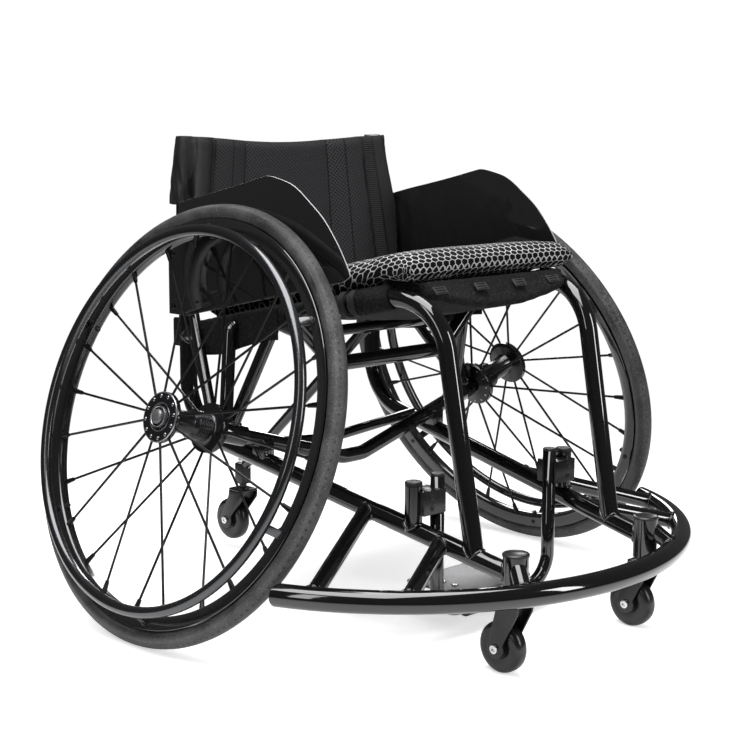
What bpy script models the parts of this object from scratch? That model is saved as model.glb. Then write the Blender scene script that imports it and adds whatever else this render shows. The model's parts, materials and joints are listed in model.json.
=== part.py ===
"""Basketball wheelchair: tube frame, cambered wheels, castors, bumper, footrest and seat.

Metres, +Z up, front towards -Y, the user's right towards -X. Lengths along Y are
written from the axle line and moved at the end, so the box is centred on Y = 0.
"""

import math

import bmesh
import bpy
from mathutils import Matrix, Vector

# Whole chair
BOX_CENTRE_FROM_AXLE = -0.10244
GAP = 0.0003
RUN_GAP = 0.00008

# Main wheels
TYRE_OUTER_R = 0.305
TYRE_SECTION_R = 0.0125
CAMBER = math.radians(17.65)
WHEEL_CENTRE_X = 0.3209
AXLE_Z = (TYRE_OUTER_R - TYRE_SECTION_R) * math.cos(CAMBER) + TYRE_SECTION_R
WHEEL_STEPS = 44
RIM_EDGE_R = TYRE_OUTER_R - 2 * TYRE_SECTION_R + 0.0022
RIM_DEPTH = 0.0202
RIM_INNER_R = RIM_EDGE_R - RIM_DEPTH
RIM_VALLEY_R = RIM_EDGE_R - 0.0034
RIM_HALF_WIDTH = 0.0105
HANDRIM_R = RIM_INNER_R - 0.002
HANDRIM_TUBE_R = 0.0078
HANDRIM_OFFSET = 0.033
TAB_COUNT = 6
TAB_PHASE = math.radians(6)
TAB_HALF_WIDTH = 0.006
TAB_HALF_THICK = 0.0015
SPOKE_COUNT = 24
SPOKE_R = 0.0015
SPOKE_PHASE = math.radians(102.6)
SPOKE_END_OFFSET = 0.003

# Hubs and quick-release axles, as distances along the axle from the wheel's plane
HUB_OUT = 0.040
HUB_IN = -0.058
HUB_FLANGE_R = 0.035
HUB_BARREL_R = 0.021
HUB_NECK_R = 0.016
HUB_RECESS_R = 0.0185
HUB_RECESS_DEPTH = 0.003
AXLE_R = 0.00635
AXLE_IN = -0.100
AXLE_HEAD_R = 0.0145
AXLE_HEAD_OUT = 0.0435
BUTTON_R = 0.0103
BUTTON_OUT = 0.0485
BUTTON_POCKET_DEPTH = 0.005
BUTTON_TRAVEL = 0.0025
RECEIVER_R = 0.015
RECEIVER_OUT = -0.0625
RECEIVER_IN = -0.113

# Main frame tubes
SIDE_TUBE_R = 0.0127
UPRIGHT_X = 0.190
UPRIGHT_Y = 0.151
UPRIGHT_TOP = 0.655
SIDE_BEND_DROP = 0.04423
SIDE_BEND_Z = AXLE_Z - SIDE_BEND_DROP
SIDE_BEND_R = 0.088
HOUSING_X = 0.1377
HOUSING_Y = -0.439
SIDE_TUBE_END_Z = 0.130
RAIL_REAR_Z = 0.383
RAIL_MID = (0.197, 0.015, 0.413)
RAIL_FRONT = (0.190, -0.090, 0.436)
RAIL_KNEE = (0.147, -0.3115, 0.485)
RAIL_BEND_R = 0.080
LEG_FOOT = (0.1428, -0.3745, 0.1428)
POST_R = 0.0095
POST_FOOT_X = 0.2455
POST_KNEE = (0.2262, 0.0115, 0.4105)
POST_BEND_R = 0.012
BRACE_R = 0.009
BRACE_FOOT_X = 0.2315
BRACE_FOOT_Y = 0.006
BRACE_FOOT_RISE = 0.0027
BRACE_HEAD_Y = -0.051
REAR_STRUT_R = 0.008
REAR_STRUT_START_X = 0.2575
REAR_STRUT_START_Y = 0.010
REAR_STRUT_START_RISE = 0.0014
REAR_STRUT_HEAD_Z = 0.4665
HOOP_R = 0.011
HOOP_BEND_R = 0.045
HOOP_Y = -0.077
HOOP_Z = 0.357
HOOP_HALF = 0.112
CAMBER_BAR_R = 0.011
CAMBER_BAR_DROP = 0.0922
CAMBER_BAR_FLAT = 0.020
CAMBER_BAR_BEND_R = 0.05
CAMBER_BAR_INSERT = 0.008
SADDLE_HALF_X = 0.011
SADDLE_HALF_Y = 0.013
SADDLE_RISE = 0.002
REAR_CROSS_R = 0.008
REAR_CROSS_Y = 0.048
REAR_CROSS_RISE = 0.0069
REAR_CROSS_BEND_R = 0.2
REAR_CROSS_DROP = 0.0086
SEAT_CROSS_R = 0.008
SEAT_CROSS_Y = -0.030
SEAT_CROSS_Z = 0.3955
SEAT_CROSS_HALF = 0.130
SEAT_CROSS_BEND_R = 0.06
TAIL_STRUT_R = 0.008
TAIL_STRUT_END = (0, 0.2475, 0.1443)

# Bumper and its struts
BUMPER_R = 0.015
BUMPER_Z = 0.1165
BUMPER_ARC_R = 0.410
BUMPER_FRONT_Y = -0.5055
BUMPER_HALF_TURN = math.radians(69)
BUMPER_STEPS = 24
BUMPER_END_Y = -0.2585
BUMPER_SIDES = 14
BUMPER_STRUT_R = 0.011
REAR_STRUT_TOP_Y = -0.195
FRONT_STRUT_TOP_Y = -0.321
REAR_STRUT_FOOT_X = 0.3572
FRONT_STRUT_FOOT_X = 0.285
STUB_FOOT_X = 0.160
STUB_TOP_Z = 0.149

# Front castors
HOUSING_R = 0.0165
HOUSING_TOP = 0.1605
HOUSING_BASE = 0.1015
CAP_R = 0.0175
CAP_HEIGHT = 0.004
STEM_R = 0.006
STEM_DEPTH = 0.035
CASTOR_R = 0.034
CASTOR_HALF_WIDTH = 0.011
CASTOR_TRAIL = 0.0185
FORK_CROWN_TOP = 0.0985
FORK_PLATE = 0.003
FORK_INSIDE = 0.0135
FORK_HALF_DEPTH = 0.0175
FORK_CROWN_THICK = 0.0035
FORK_FOOT_R = 0.0135
HUB_FACE_R = 0.0095
BORE_END_GAP = 0.002
BOLT_R = 0.004
BOLT_HEAD_R = 0.0062

# Anti-tip wheel in the middle of the back
TAIL_Y = 0.2557
TAIL_HOLDER_BASE = 0.112
TAIL_HOLDER_TOP = 0.1465
TAIL_HOLDER_HALF = 0.010
TAIL_HOLDER_CORNER = 0.003
TAIL_NUT_R = 0.0075
TAIL_NUT_HEIGHT = 0.010
TAIL_STEM_DEPTH = 0.020
TAIL_CROWN_TOP = 0.1045
TAIL_WHEEL_R = 0.0335
TAIL_WHEEL_Z = 0.049
TAIL_TRAIL = 0.0263
TAIL_FORK_INSIDE = 0.0130
TAIL_WHEEL_HALF = 0.0105

# Footrest
SOCKET = (0.1563, -0.2777)
SOCKET_R = 0.0118
SOCKET_TOP = 0.2291
SOCKET_BORE_R = 0.0090
SOCKET_BORE_DEPTH = 0.018
FOOT_TUBE = (0.117, -0.284)
FOOT_TUBE_R = 0.0095
FOOT_TUBE_TOP = 0.235
FOOT_TUBE_BORE_R = 0.0078
FOOT_TUBE_BORE_DEPTH = 0.018
FOOT_CROSS_Z = 0.0395
FOOT_BEND_R = 0.045
CLAMP_LOW = 0.1845
CLAMP_HIGH = 0.2165
CLAMP_HALF_DEPTH = 0.0175
CLAMP_PAST = 0.001
CLAMP_BEVEL = 0.0008
PLATE_RISE = 0.021
PLATE_TOP = FOOT_CROSS_Z + PLATE_RISE
PLATE_THICK = 0.004
PLATE_REAR_Y = -0.188
PLATE_FRONT_Y = -0.295
PLATE_HALF = 0.078
PLATE_REAR_CORNER = 0.006
PLATE_FRONT_CORNER = 0.020
COLLAR_X = 0.050
COLLAR_HALF = 0.012
COLLAR_WALL = 0.005
COLLAR_R = FOOT_TUBE_R + COLLAR_WALL
TONGUE_REAR_Y = -0.225
TONGUE_THICK = 0.005

# Seat, back and guards
CLOTH = 0.0022
SEAT_REAR_Y = 0.120
SEAT_FRONT_Y = -0.236
SAG_FULL_Y = -0.139
SEAT_STATIONS = (
    SEAT_REAR_Y, 0.067, RAIL_MID[1], -0.0375, RAIL_FRONT[1], SAG_FULL_Y, -0.188, SEAT_FRONT_Y,
)
WRAP_START = math.radians(8)
WRAP_STEPS = 4
WRAP_R = SIDE_TUBE_R / math.cos(math.radians(14)) + GAP
SAG_FRONT = 0.042
SAG_REAR = 0.022
LIP_FRONT_Y = -0.300
LIP_HALF = 0.134
LIP_RISE = 0.014
LIP_CURVE = 0.020
LIP_THICK = 0.004
LIP_STATIONS = (-0.255, -0.278, LIP_FRONT_Y)
LIP_OVERLAP = 0.005
FACE_TOP = 0.4885
FACE_TOP_Y = -0.276
FACE_SET_IN = 0.001
CUSHION_REAR_Y = 0.112
CUSHION_FRONT_Y = -0.280
CUSHION_HALF_REAR = 0.186
CUSHION_HALF_FRONT = 0.176
CUSHION_RISE = 0.043
CUSHION_CROWN = 0.006
CUSHION_EDGE = 0.010
CUSHION_NOSE = 0.012
CUSHION_SIDE_BULGE = 0.003
SEAT_GAP = 0.0007
SIDE_ROUND = 0.010
BACK_TOP = 0.672
BACK_BASE = 0.440
BACK_HALF = 0.2085
BACK_PAD = 0.014
BACK_FRONT_Y = 0.121
BACK_DISH = 0.030
BACK_DIP = 0.010
BACK_HEM = 0.003
BACK_HEIGHTS = (BACK_BASE, BACK_BASE + 0.0035, 0.500, 0.560, 0.615, 0.652, BACK_TOP - BACK_HEM, BACK_TOP)
BACK_STATIONS = (BACK_HALF, 0.199, 0.185, 0.168, 0.140, 0.100, 0.050, 0.0)
SLEEVE_WALL = 0.0045
CLOTH_GAP = 0.001
GUARD_X = 0.2150
GUARD_THICK = 0.002
GUARD_OUTLINE = (
    (0.134, 0.578), (0.050, 0.597), (0.001, 0.608), (-0.050, 0.6205), (-0.061, 0.622),
    (-0.074, 0.6205), (-0.103, 0.614), (-0.122, 0.605), (-0.139, 0.593), (-0.168, 0.571),
    (-0.191, 0.545), (-0.206, 0.524), (-0.219, 0.501), (-0.216, 0.495), (-0.205, 0.489),
    (0.120, 0.4165), (0.160, 0.4165), (0.160, 0.520), (0.136, 0.545),
)
BOSS_R = 0.006
BOSS_HEIGHTS = (0.4275, 0.505)


def clear_scene():
    """Remove everything from the opened scene."""
    for item in list(bpy.data.objects):
        bpy.data.objects.remove(item, do_unlink=True)


# Materials


def material(name, color, metallic, roughness):
    """One Principled material."""
    made = bpy.data.materials.new(name)
    made.use_nodes = True
    shader = made.node_tree.nodes["Principled BSDF"]
    shader.inputs["Base Color"].default_value = (*color, 1.0)
    shader.inputs["Metallic"].default_value = metallic
    shader.inputs["Roughness"].default_value = roughness
    return made


def black_paint(node):
    return material(node + "_paint", (0.012, 0.012, 0.013), 0.0, 0.12)


def black_anodised(node):
    return material(node + "_anodised", (0.02, 0.02, 0.022), 0.6, 0.3)


def matte_black(node):
    return material(node + "_matte", (0.03, 0.03, 0.03), 0.0, 0.6)


def tyre_rubber(node):
    return material(node + "_rubber", (0.035, 0.035, 0.035), 0.0, 0.7)


def bright_steel(node):
    return material(node + "_steel", (0.7, 0.7, 0.72), 1.0, 0.2)


def black_fabric(node):
    return material(node + "_fabric", (0.02, 0.02, 0.02), 0.0, 0.9)


def glossy_panel(node):
    return material(node + "_panel", (0.01, 0.01, 0.011), 0.0, 0.08)


# Mesh helpers


def finish(name, shape, look, smooth=True):
    """Turn a bmesh into a named object with one material."""
    bmesh.ops.remove_doubles(shape, verts=shape.verts, dist=0.00001)
    bmesh.ops.recalc_face_normals(shape, faces=shape.faces)
    if shape.calc_volume(signed=True) < 0:
        bmesh.ops.reverse_faces(shape, faces=shape.faces)
    mesh = bpy.data.meshes.new(name)
    shape.to_mesh(mesh)
    shape.free()
    made = bpy.data.objects.new(name, mesh)
    bpy.context.scene.collection.objects.link(made)
    if look is not None:
        mesh.materials.append(look)
    for face in mesh.polygons:
        face.use_smooth = smooth
    return made


def smooth_by_angle(made, degrees=35):
    """Keep sharp edges sharp on a smooth-shaded object."""
    mesh = made.data
    limit = math.radians(degrees)
    shape = bmesh.new()
    shape.from_mesh(mesh)
    for edge in shape.edges:
        edge.smooth = not (len(edge.link_faces) == 2 and edge.calc_face_angle() > limit)
    shape.to_mesh(mesh)
    shape.free()


def boolean(target, tool, operation):
    """Apply one exact Boolean and drop the tool."""
    step = target.modifiers.new("cut", "BOOLEAN")
    step.operation = operation
    step.solver = "EXACT"
    step.object = tool
    graph = bpy.context.evaluated_depsgraph_get()
    result = bpy.data.meshes.new_from_object(target.evaluated_get(graph))
    target.modifiers.remove(step)
    target.data = result
    bpy.data.objects.remove(tool, do_unlink=True)
    shape = bmesh.new()
    shape.from_mesh(result)
    bmesh.ops.remove_doubles(shape, verts=shape.verts, dist=0.00002)
    bmesh.ops.dissolve_degenerate(shape, edges=shape.edges, dist=0.00001)
    bmesh.ops.triangulate(shape, faces=[face for face in shape.faces if len(face.verts) > 4])
    shape.to_mesh(result)
    shape.free()


def cut(target, *tools):
    """Cut the target back with each tool."""
    for tool in tools:
        boolean(target, tool, "DIFFERENCE")
    smooth_by_angle(target)


def join(target, *tools):
    """Weld each tool to the target."""
    for tool in tools:
        boolean(target, tool, "UNION")
    smooth_by_angle(target)


def rounded_path(points, radii, step=math.radians(15)):
    """Straight runs joined by arcs, one radius for each inner point."""
    points = [Vector(point) for point in points]
    path = [points[0]]
    for index in range(1, len(points) - 1):
        before, corner, after = points[index - 1:index + 2]
        into = (corner - before).normalized()
        out = (after - corner).normalized()
        turn = into.angle(out)
        radius = radii[index - 1]
        if radius == 0 or turn < 0.001:
            path.append(corner)
            continue
        back = radius * math.tan(turn / 2)
        start = corner - into * back
        centre = start + (out - into * out.dot(into)).normalized() * radius
        axis = into.cross(out).normalized()
        count = max(2, math.ceil(turn / step))
        for part in range(count + 1):
            spin = Matrix.Rotation(turn * part / count, 3, axis)
            path.append(centre + spin @ (start - centre))
    path.append(points[-1])
    return path


def sweep(name, path, radius, look=None, sides=12):
    """A round bar along a path, with flat ends."""
    path = [Vector(point) for point in path]
    shape = bmesh.new()
    across = None
    rings = []
    for index, point in enumerate(path):
        ahead = path[min(index + 1, len(path) - 1)] - point
        behind = point - path[max(index - 1, 0)]
        along = (ahead.normalized() + behind.normalized()).normalized()
        if across is None:
            across = along.orthogonal().normalized()
        across = (across - along * across.dot(along)).normalized()
        other = along.cross(across)
        ring = []
        for side in range(sides):
            angle = 2 * math.pi * side / sides
            offset = across * math.cos(angle) + other * math.sin(angle)
            ring.append(shape.verts.new(point + offset * radius))
        rings.append(ring)
    for first, second in zip(rings, rings[1:]):
        for side in range(sides):
            after = (side + 1) % sides
            shape.faces.new((first[side], first[after], second[after], second[side]))
    shape.faces.new(rings[0])
    shape.faces.new(rings[-1])
    made = finish(name, shape, look)
    smooth_by_angle(made)
    return made


def revolve(name, profile, place, look=None, steps=24):
    """Turn a closed (distance along, radius) profile about the local X axis of a place matrix."""
    shape = bmesh.new()
    rings = []
    for along, radius in profile:
        if radius == 0:
            rings.append([shape.verts.new(place @ Vector((along, 0, 0)))] * steps)
            continue
        ring = []
        for part in range(steps):
            angle = 2 * math.pi * part / steps
            local = Vector((along, radius * math.cos(angle), radius * math.sin(angle)))
            ring.append(shape.verts.new(place @ local))
        rings.append(ring)
    for first, second in zip(rings, rings[1:] + rings[:1]):
        for part in range(steps):
            after = (part + 1) % steps
            corners = [first[part], first[after], second[after], second[part]]
            unique = list(dict.fromkeys(corners))
            if len(unique) > 2:
                shape.faces.new(unique)
    made = finish(name, shape, look)
    smooth_by_angle(made)
    return made


def upright_place(x, y, z):
    """A place whose X axis points up."""
    return Matrix.Translation((x, y, z)) @ Matrix.Rotation(-math.pi / 2, 4, "Y")


def block(name, low, high, look=None, place=None):
    """A box between two corners."""
    shape = bmesh.new()
    corners = [
        shape.verts.new((x, y, z))
        for x in (low[0], high[0])
        for y in (low[1], high[1])
        for z in (low[2], high[2])
    ]
    for face in ((0, 1, 3, 2), (4, 6, 7, 5), (0, 4, 5, 1), (2, 3, 7, 6), (0, 2, 6, 4), (1, 5, 7, 3)):
        shape.faces.new([corners[index] for index in face])
    if place is not None:
        shape.transform(place)
    return finish(name, shape, look, smooth=False)


def prism(name, outline, low, high, look=None, axis="X"):
    """A flat outline raised between two levels along X or Z."""
    shape = bmesh.new()
    ends = []
    for level in (low, high):
        if axis == "X":
            ends.append([shape.verts.new((level, first, second)) for first, second in outline])
        else:
            ends.append([shape.verts.new((first, second, level)) for first, second in outline])
    shape.faces.new(ends[0])
    shape.faces.new(ends[1])
    for index in range(len(outline)):
        after = (index + 1) % len(outline)
        shape.faces.new((ends[0][index], ends[0][after], ends[1][after], ends[1][index]))
    return finish(name, shape, look, smooth=False)


def mirrored(point, side):
    """A point written for the +X side, moved to the wanted side."""
    return (point[0] * side, *point[1:])


def side_name(side):
    return "left" if side > 0 else "right"


# Shared shapes of the frame


def wheel_place(side):
    """Wheel centre frame: X outward along the axle, Y forward, Z up the wheel."""
    out = Vector((side * math.cos(CAMBER), 0, math.sin(CAMBER)))
    forward = Vector((0, -1, 0))
    up = Vector((-side * math.sin(CAMBER), 0, math.cos(CAMBER)))
    centre = Vector((side * WHEEL_CENTRE_X, 0, AXLE_Z))
    return Matrix((
        (out.x, forward.x, up.x, centre.x),
        (out.y, forward.y, up.y, centre.y),
        (out.z, forward.z, up.z, centre.z),
        (0, 0, 0, 1),
    ))


def axle_point(side, x):
    """The point of the axle line at a distance x from the middle."""
    centre = wheel_place(side).translation
    return (side * x, 0, centre.z - (WHEEL_CENTRE_X - x) * math.tan(CAMBER))


def near_axle(x, y, rise):
    """A point a little above the left axle line, and behind or before it."""
    return (x, y, axle_point(1, x)[2] + rise)


def side_tube_path(side):
    points = [
        (UPRIGHT_X, UPRIGHT_Y, UPRIGHT_TOP),
        (UPRIGHT_X, UPRIGHT_Y, SIDE_BEND_Z),
        (HOUSING_X, HOUSING_Y, SIDE_TUBE_END_Z),
    ]
    return rounded_path([mirrored(point, side) for point in points], [SIDE_BEND_R])


def side_tube_at(y):
    """Centre of the straight run of the +X side tube at a distance y."""
    share = (UPRIGHT_Y - y) / (UPRIGHT_Y - HOUSING_Y)
    x = UPRIGHT_X + (HOUSING_X - UPRIGHT_X) * share
    z = SIDE_BEND_Z + (SIDE_TUBE_END_Z - SIDE_BEND_Z) * share
    return (x, y, z)


def rail_path(side):
    points = [(UPRIGHT_X, UPRIGHT_Y, RAIL_REAR_Z), RAIL_MID, RAIL_FRONT, RAIL_KNEE, LEG_FOOT]
    return rounded_path([mirrored(point, side) for point in points], [0, 0, RAIL_BEND_R])


def rail_at(y):
    """Centre of the +X seat rail at a distance y, on its run before the bend."""
    points = [(UPRIGHT_X, UPRIGHT_Y, RAIL_REAR_Z), RAIL_MID, RAIL_FRONT, RAIL_KNEE]
    for first, second in zip(points, points[1:]):
        if second[1] <= y <= first[1] or second is points[-1]:
            share = (first[1] - y) / (first[1] - second[1])
            return tuple(a + (b - a) * share for a, b in zip(first, second))
    return points[0]


def bumper_at(x):
    """Centre of the bumper's arc at a distance x from the middle."""
    return (x, BUMPER_FRONT_Y + BUMPER_ARC_R - math.sqrt(BUMPER_ARC_R ** 2 - x ** 2), BUMPER_Z)


def bumper_path():
    """Level arc round the chair's front, run past both cut ends."""
    turns = [BUMPER_HALF_TURN * (2 * step / BUMPER_STEPS - 1) for step in range(BUMPER_STEPS + 1)]
    return [bumper_at(BUMPER_ARC_R * math.sin(turn)) for turn in turns]


def housing_solid(side, extra):
    profile = [(-0.1, 0), (-0.1, HOUSING_R + extra), (0.1, HOUSING_R + extra), (0.1, 0)]
    return revolve("tool", profile, upright_place(side * HOUSING_X, HOUSING_Y, SIDE_TUBE_END_Z))


def receiver_solid(side, extra):
    r = RECEIVER_R + extra
    inner = RECEIVER_IN - extra
    outer = RECEIVER_OUT + extra
    profile = [(inner, 0), (inner, r), (outer, r), (outer, 0)]
    return revolve("tool", profile, wheel_place(side))


def side_tube_tool(side):
    return sweep("tool", side_tube_path(side), SIDE_TUBE_R + GAP)


def rail_tool(side, extra=GAP):
    return sweep("tool", rail_path(side), SIDE_TUBE_R + extra)


def bumper_tool():
    return sweep("tool", bumper_path(), BUMPER_R + GAP, sides=BUMPER_SIDES)


# Frame nodes


def make_side_tube(side):
    name = "side_tube_" + side_name(side)
    made = sweep(name, side_tube_path(side), SIDE_TUBE_R, black_paint(name))
    cut(made, housing_solid(side, GAP))


def make_rail(side):
    name = "seat_rail_" + side_name(side)
    made = sweep(name, rail_path(side), SIDE_TUBE_R, black_paint(name))
    cut(made, side_tube_tool(side))


def post_path(side):
    points = [axle_point(1, POST_FOOT_X), POST_KNEE, RAIL_MID]
    return rounded_path([mirrored(point, side) for point in points], [POST_BEND_R])


def make_post(side):
    name = "seat_post_" + side_name(side)
    made = sweep(name, post_path(side), POST_R, black_paint(name))
    cut(made, receiver_solid(side, GAP), rail_tool(side))


def brace_path(side):
    foot = near_axle(BRACE_FOOT_X, BRACE_FOOT_Y, BRACE_FOOT_RISE)
    return [mirrored(foot, side), mirrored(rail_at(BRACE_HEAD_Y), side)]


def make_brace(side):
    name = "rail_brace_" + side_name(side)
    made = sweep(name, brace_path(side), BRACE_R, black_paint(name))
    post = sweep("tool", post_path(side), POST_R + GAP)
    cut(made, receiver_solid(side, GAP), rail_tool(side), post)


def rear_strut_path(side):
    start = near_axle(REAR_STRUT_START_X, REAR_STRUT_START_Y, REAR_STRUT_START_RISE)
    head = (UPRIGHT_X, UPRIGHT_Y, REAR_STRUT_HEAD_Z)
    return [mirrored(start, side), mirrored(head, side)]


def make_rear_strut(side):
    name = "rear_strut_" + side_name(side)
    made = sweep(name, rear_strut_path(side), REAR_STRUT_R, black_paint(name))
    post = sweep("tool", post_path(side), POST_R + GAP)
    cut(made, receiver_solid(side, GAP), side_tube_tool(side), post)


def make_hoop():
    name = "seat_hoop"
    end = rail_at(HOOP_Y)
    points = [
        (-end[0], HOOP_Y, end[2]), (-HOOP_HALF, HOOP_Y, HOOP_Z),
        (HOOP_HALF, HOOP_Y, HOOP_Z), (end[0], HOOP_Y, end[2]),
    ]
    made = sweep(name, rounded_path(points, [HOOP_BEND_R, HOOP_BEND_R]), HOOP_R, black_paint(name))
    cut(made, rail_tool(-1), rail_tool(1))


def camber_bar_path():
    end = axle_point(1, WHEEL_CENTRE_X + (RECEIVER_IN + CAMBER_BAR_INSERT) * math.cos(CAMBER))
    flat = CAMBER_BAR_FLAT
    low = AXLE_Z - CAMBER_BAR_DROP
    points = [(-end[0], 0, end[2]), (-flat, 0, low), (flat, 0, low), (end[0], 0, end[2])]
    return rounded_path(points, [CAMBER_BAR_BEND_R, CAMBER_BAR_BEND_R])


def make_camber_bar():
    """The camber bar with a saddle down to each side tube."""
    name = "camber_bar"
    path = camber_bar_path()
    made = sweep(name, path, CAMBER_BAR_R, black_paint(name))
    inner, outer = path[-2:]
    for side in (-1, 1):
        x, y, z = side_tube_at(0)
        top = inner[2] + (outer[2] - inner[2]) * (x - inner[0]) / (outer[0] - inner[0]) + SADDLE_RISE
        x *= side
        low = (x - SADDLE_HALF_X, y - SADDLE_HALF_Y, z)
        high = (x + SADDLE_HALF_X, y + SADDLE_HALF_Y, top)
        join(made, block("tool", low, high))
        cut(made, side_tube_tool(side), receiver_solid(side, GAP))


def make_receiver(side):
    """The sleeve that takes the quick-release axle."""
    name = "axle_receiver_" + side_name(side)
    r = RECEIVER_R
    bore = AXLE_R + GAP
    profile = [
        (RECEIVER_IN, 0), (RECEIVER_IN, r - 0.001), (RECEIVER_IN + 0.001, r),
        (RECEIVER_OUT - 0.001, r), (RECEIVER_OUT, r - 0.001),
        (RECEIVER_OUT, bore), (AXLE_IN - GAP, bore), (AXLE_IN - GAP, 0),
    ]
    revolve(name, profile, wheel_place(side), black_paint(name), steps=18)


def make_rear_cross():
    name = "rear_cross_tube"
    end = side_tube_at(REAR_CROSS_Y)
    level = end[2] + REAR_CROSS_RISE
    y = REAR_CROSS_Y
    points = [(-end[0], y, level), (0, y, end[2] - REAR_CROSS_DROP), (end[0], y, level)]
    made = sweep(name, rounded_path(points, [REAR_CROSS_BEND_R]), REAR_CROSS_R, black_paint(name))
    tail = sweep("tool", tail_strut_path(), TAIL_STRUT_R + GAP)
    cut(made, side_tube_tool(-1), side_tube_tool(1), tail)


def make_seat_cross():
    name = "seat_cross_tube"
    end = rail_at(SEAT_CROSS_Y)
    points = [
        (-end[0], SEAT_CROSS_Y, end[2]), (-SEAT_CROSS_HALF, SEAT_CROSS_Y, SEAT_CROSS_Z),
        (SEAT_CROSS_HALF, SEAT_CROSS_Y, SEAT_CROSS_Z), (end[0], SEAT_CROSS_Y, end[2]),
    ]
    bends = [SEAT_CROSS_BEND_R, SEAT_CROSS_BEND_R]
    made = sweep(name, rounded_path(points, bends), SEAT_CROSS_R, black_paint(name))
    cut(made, rail_tool(-1), rail_tool(1))


def tail_strut_path():
    return [(0, SEAT_CROSS_Y, SEAT_CROSS_Z), TAIL_STRUT_END]


def make_tail_strut():
    """The single strut that runs back to the anti-tip wheel."""
    name = "tail_strut"
    made = sweep(name, tail_strut_path(), TAIL_STRUT_R, black_paint(name))
    reach = 3 * SEAT_CROSS_R
    middle = [(-reach, SEAT_CROSS_Y, SEAT_CROSS_Z), (reach, SEAT_CROSS_Y, SEAT_CROSS_Z)]
    cross = sweep("tool", middle, SEAT_CROSS_R + GAP)
    cut(made, cross, tail_holder_block("tool", None, GAP), tail_nut(GAP))


def tail_holder_block(name, look, extra):
    half = TAIL_HOLDER_HALF + extra
    corner = TAIL_HOLDER_CORNER
    outline = [
        (-half, TAIL_Y - half + corner), (-half + corner, TAIL_Y - half), (half - corner, TAIL_Y - half),
        (half, TAIL_Y - half + corner), (half, TAIL_Y + half - corner), (half - corner, TAIL_Y + half),
        (-half + corner, TAIL_Y + half), (-half, TAIL_Y + half - corner),
    ]
    return prism(name, outline, TAIL_HOLDER_BASE - extra, TAIL_HOLDER_TOP + extra, look, "Z")


def tail_nut(extra):
    r = TAIL_NUT_R + extra
    top = TAIL_NUT_HEIGHT + extra
    profile = [(-0.001, 0), (-0.001, r), (top - 0.002, r), (top, r - 0.0025), (top, 0)]
    return revolve("tool", profile, upright_place(0, TAIL_Y, TAIL_HOLDER_TOP), steps=6)


def make_tail_holder():
    """Block at the end of the strut, with the stem's bore below and a nut on top."""
    name = "tail_holder"
    made = tail_holder_block(name, matte_black(name), 0)
    join(made, tail_nut(0))
    cut(made, stem_bore(0, TAIL_Y, TAIL_HOLDER_BASE, TAIL_STEM_DEPTH + BORE_END_GAP))


def stem_bore(x, y, mouth, depth):
    """Tool for a blind hole that faces down and clears the faceted stem."""
    r = (STEM_R + RUN_GAP) / math.cos(math.pi / 12)
    profile = [(-STEM_R, 0), (-STEM_R, r), (depth, r), (depth, 0)]
    return revolve("tool", profile, upright_place(x, y, mouth), steps=12)


def make_bumper():
    """Front bumper, with both ends cut square to the chair's length."""
    name = "bumper"
    made = sweep(name, bumper_path(), BUMPER_R, black_paint(name), sides=BUMPER_SIDES)
    reach = 2 * BUMPER_R
    low = (-BUMPER_ARC_R, BUMPER_END_Y, BUMPER_Z - reach)
    high = (BUMPER_ARC_R, BUMPER_END_Y + 2 * reach, BUMPER_Z + reach)
    cut(made, block("tool", low, high))


def bumper_strut(name, top, foot, side):
    points = [mirrored(top, side), mirrored(foot, side)]
    made = sweep(name, points, BUMPER_STRUT_R, black_paint(name))
    cut(made, side_tube_tool(side), bumper_tool())
    return made


def make_bumper_struts(side):
    ending = side_name(side)
    rear = (side_tube_at(REAR_STRUT_TOP_Y), bumper_at(REAR_STRUT_FOOT_X))
    front = (side_tube_at(FRONT_STRUT_TOP_Y), bumper_at(FRONT_STRUT_FOOT_X))
    bumper_strut("bumper_rear_strut_" + ending, *rear, side)
    bumper_strut("bumper_front_strut_" + ending, *front, side)


def make_housing(side):
    """Castor housing with its cap and the short stub to the bumper."""
    name = "castor_housing_" + side_name(side)
    base = HOUSING_BASE
    top = HOUSING_TOP - base
    profile = [
        (0, 0), (0, HOUSING_R), (top - CAP_HEIGHT, HOUSING_R), (top - CAP_HEIGHT, CAP_R),
        (top - 0.001, CAP_R), (top, CAP_R - 0.001), (top, 0),
    ]
    made = revolve(name, profile, upright_place(side * HOUSING_X, HOUSING_Y, base), black_paint(name), 18)
    stub_path = [mirrored((HOUSING_X, HOUSING_Y, STUB_TOP_Z), side), mirrored(bumper_at(STUB_FOOT_X), side)]
    join(made, sweep("tool", stub_path, BUMPER_STRUT_R))
    cut(made, bumper_tool(), stem_bore(side * HOUSING_X, HOUSING_Y, base, STEM_DEPTH + BORE_END_GAP))


def make_socket(side):
    """Round socket that stands on the side tube beside the footrest."""
    name = "footrest_socket_" + side_name(side)
    foot = side_tube_at(SOCKET[1])[2]
    height = SOCKET_TOP - foot
    profile = [
        (0, 0), (0, SOCKET_R), (height - 0.0008, SOCKET_R), (height, SOCKET_R - 0.0008),
        (height, SOCKET_BORE_R), (height - SOCKET_BORE_DEPTH, SOCKET_BORE_R), (height - SOCKET_BORE_DEPTH, 0),
    ]
    place = upright_place(side * SOCKET[0], SOCKET[1], foot)
    made = revolve(name, profile, place, black_paint(name), steps=12)
    cut(made, side_tube_tool(side))


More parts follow.
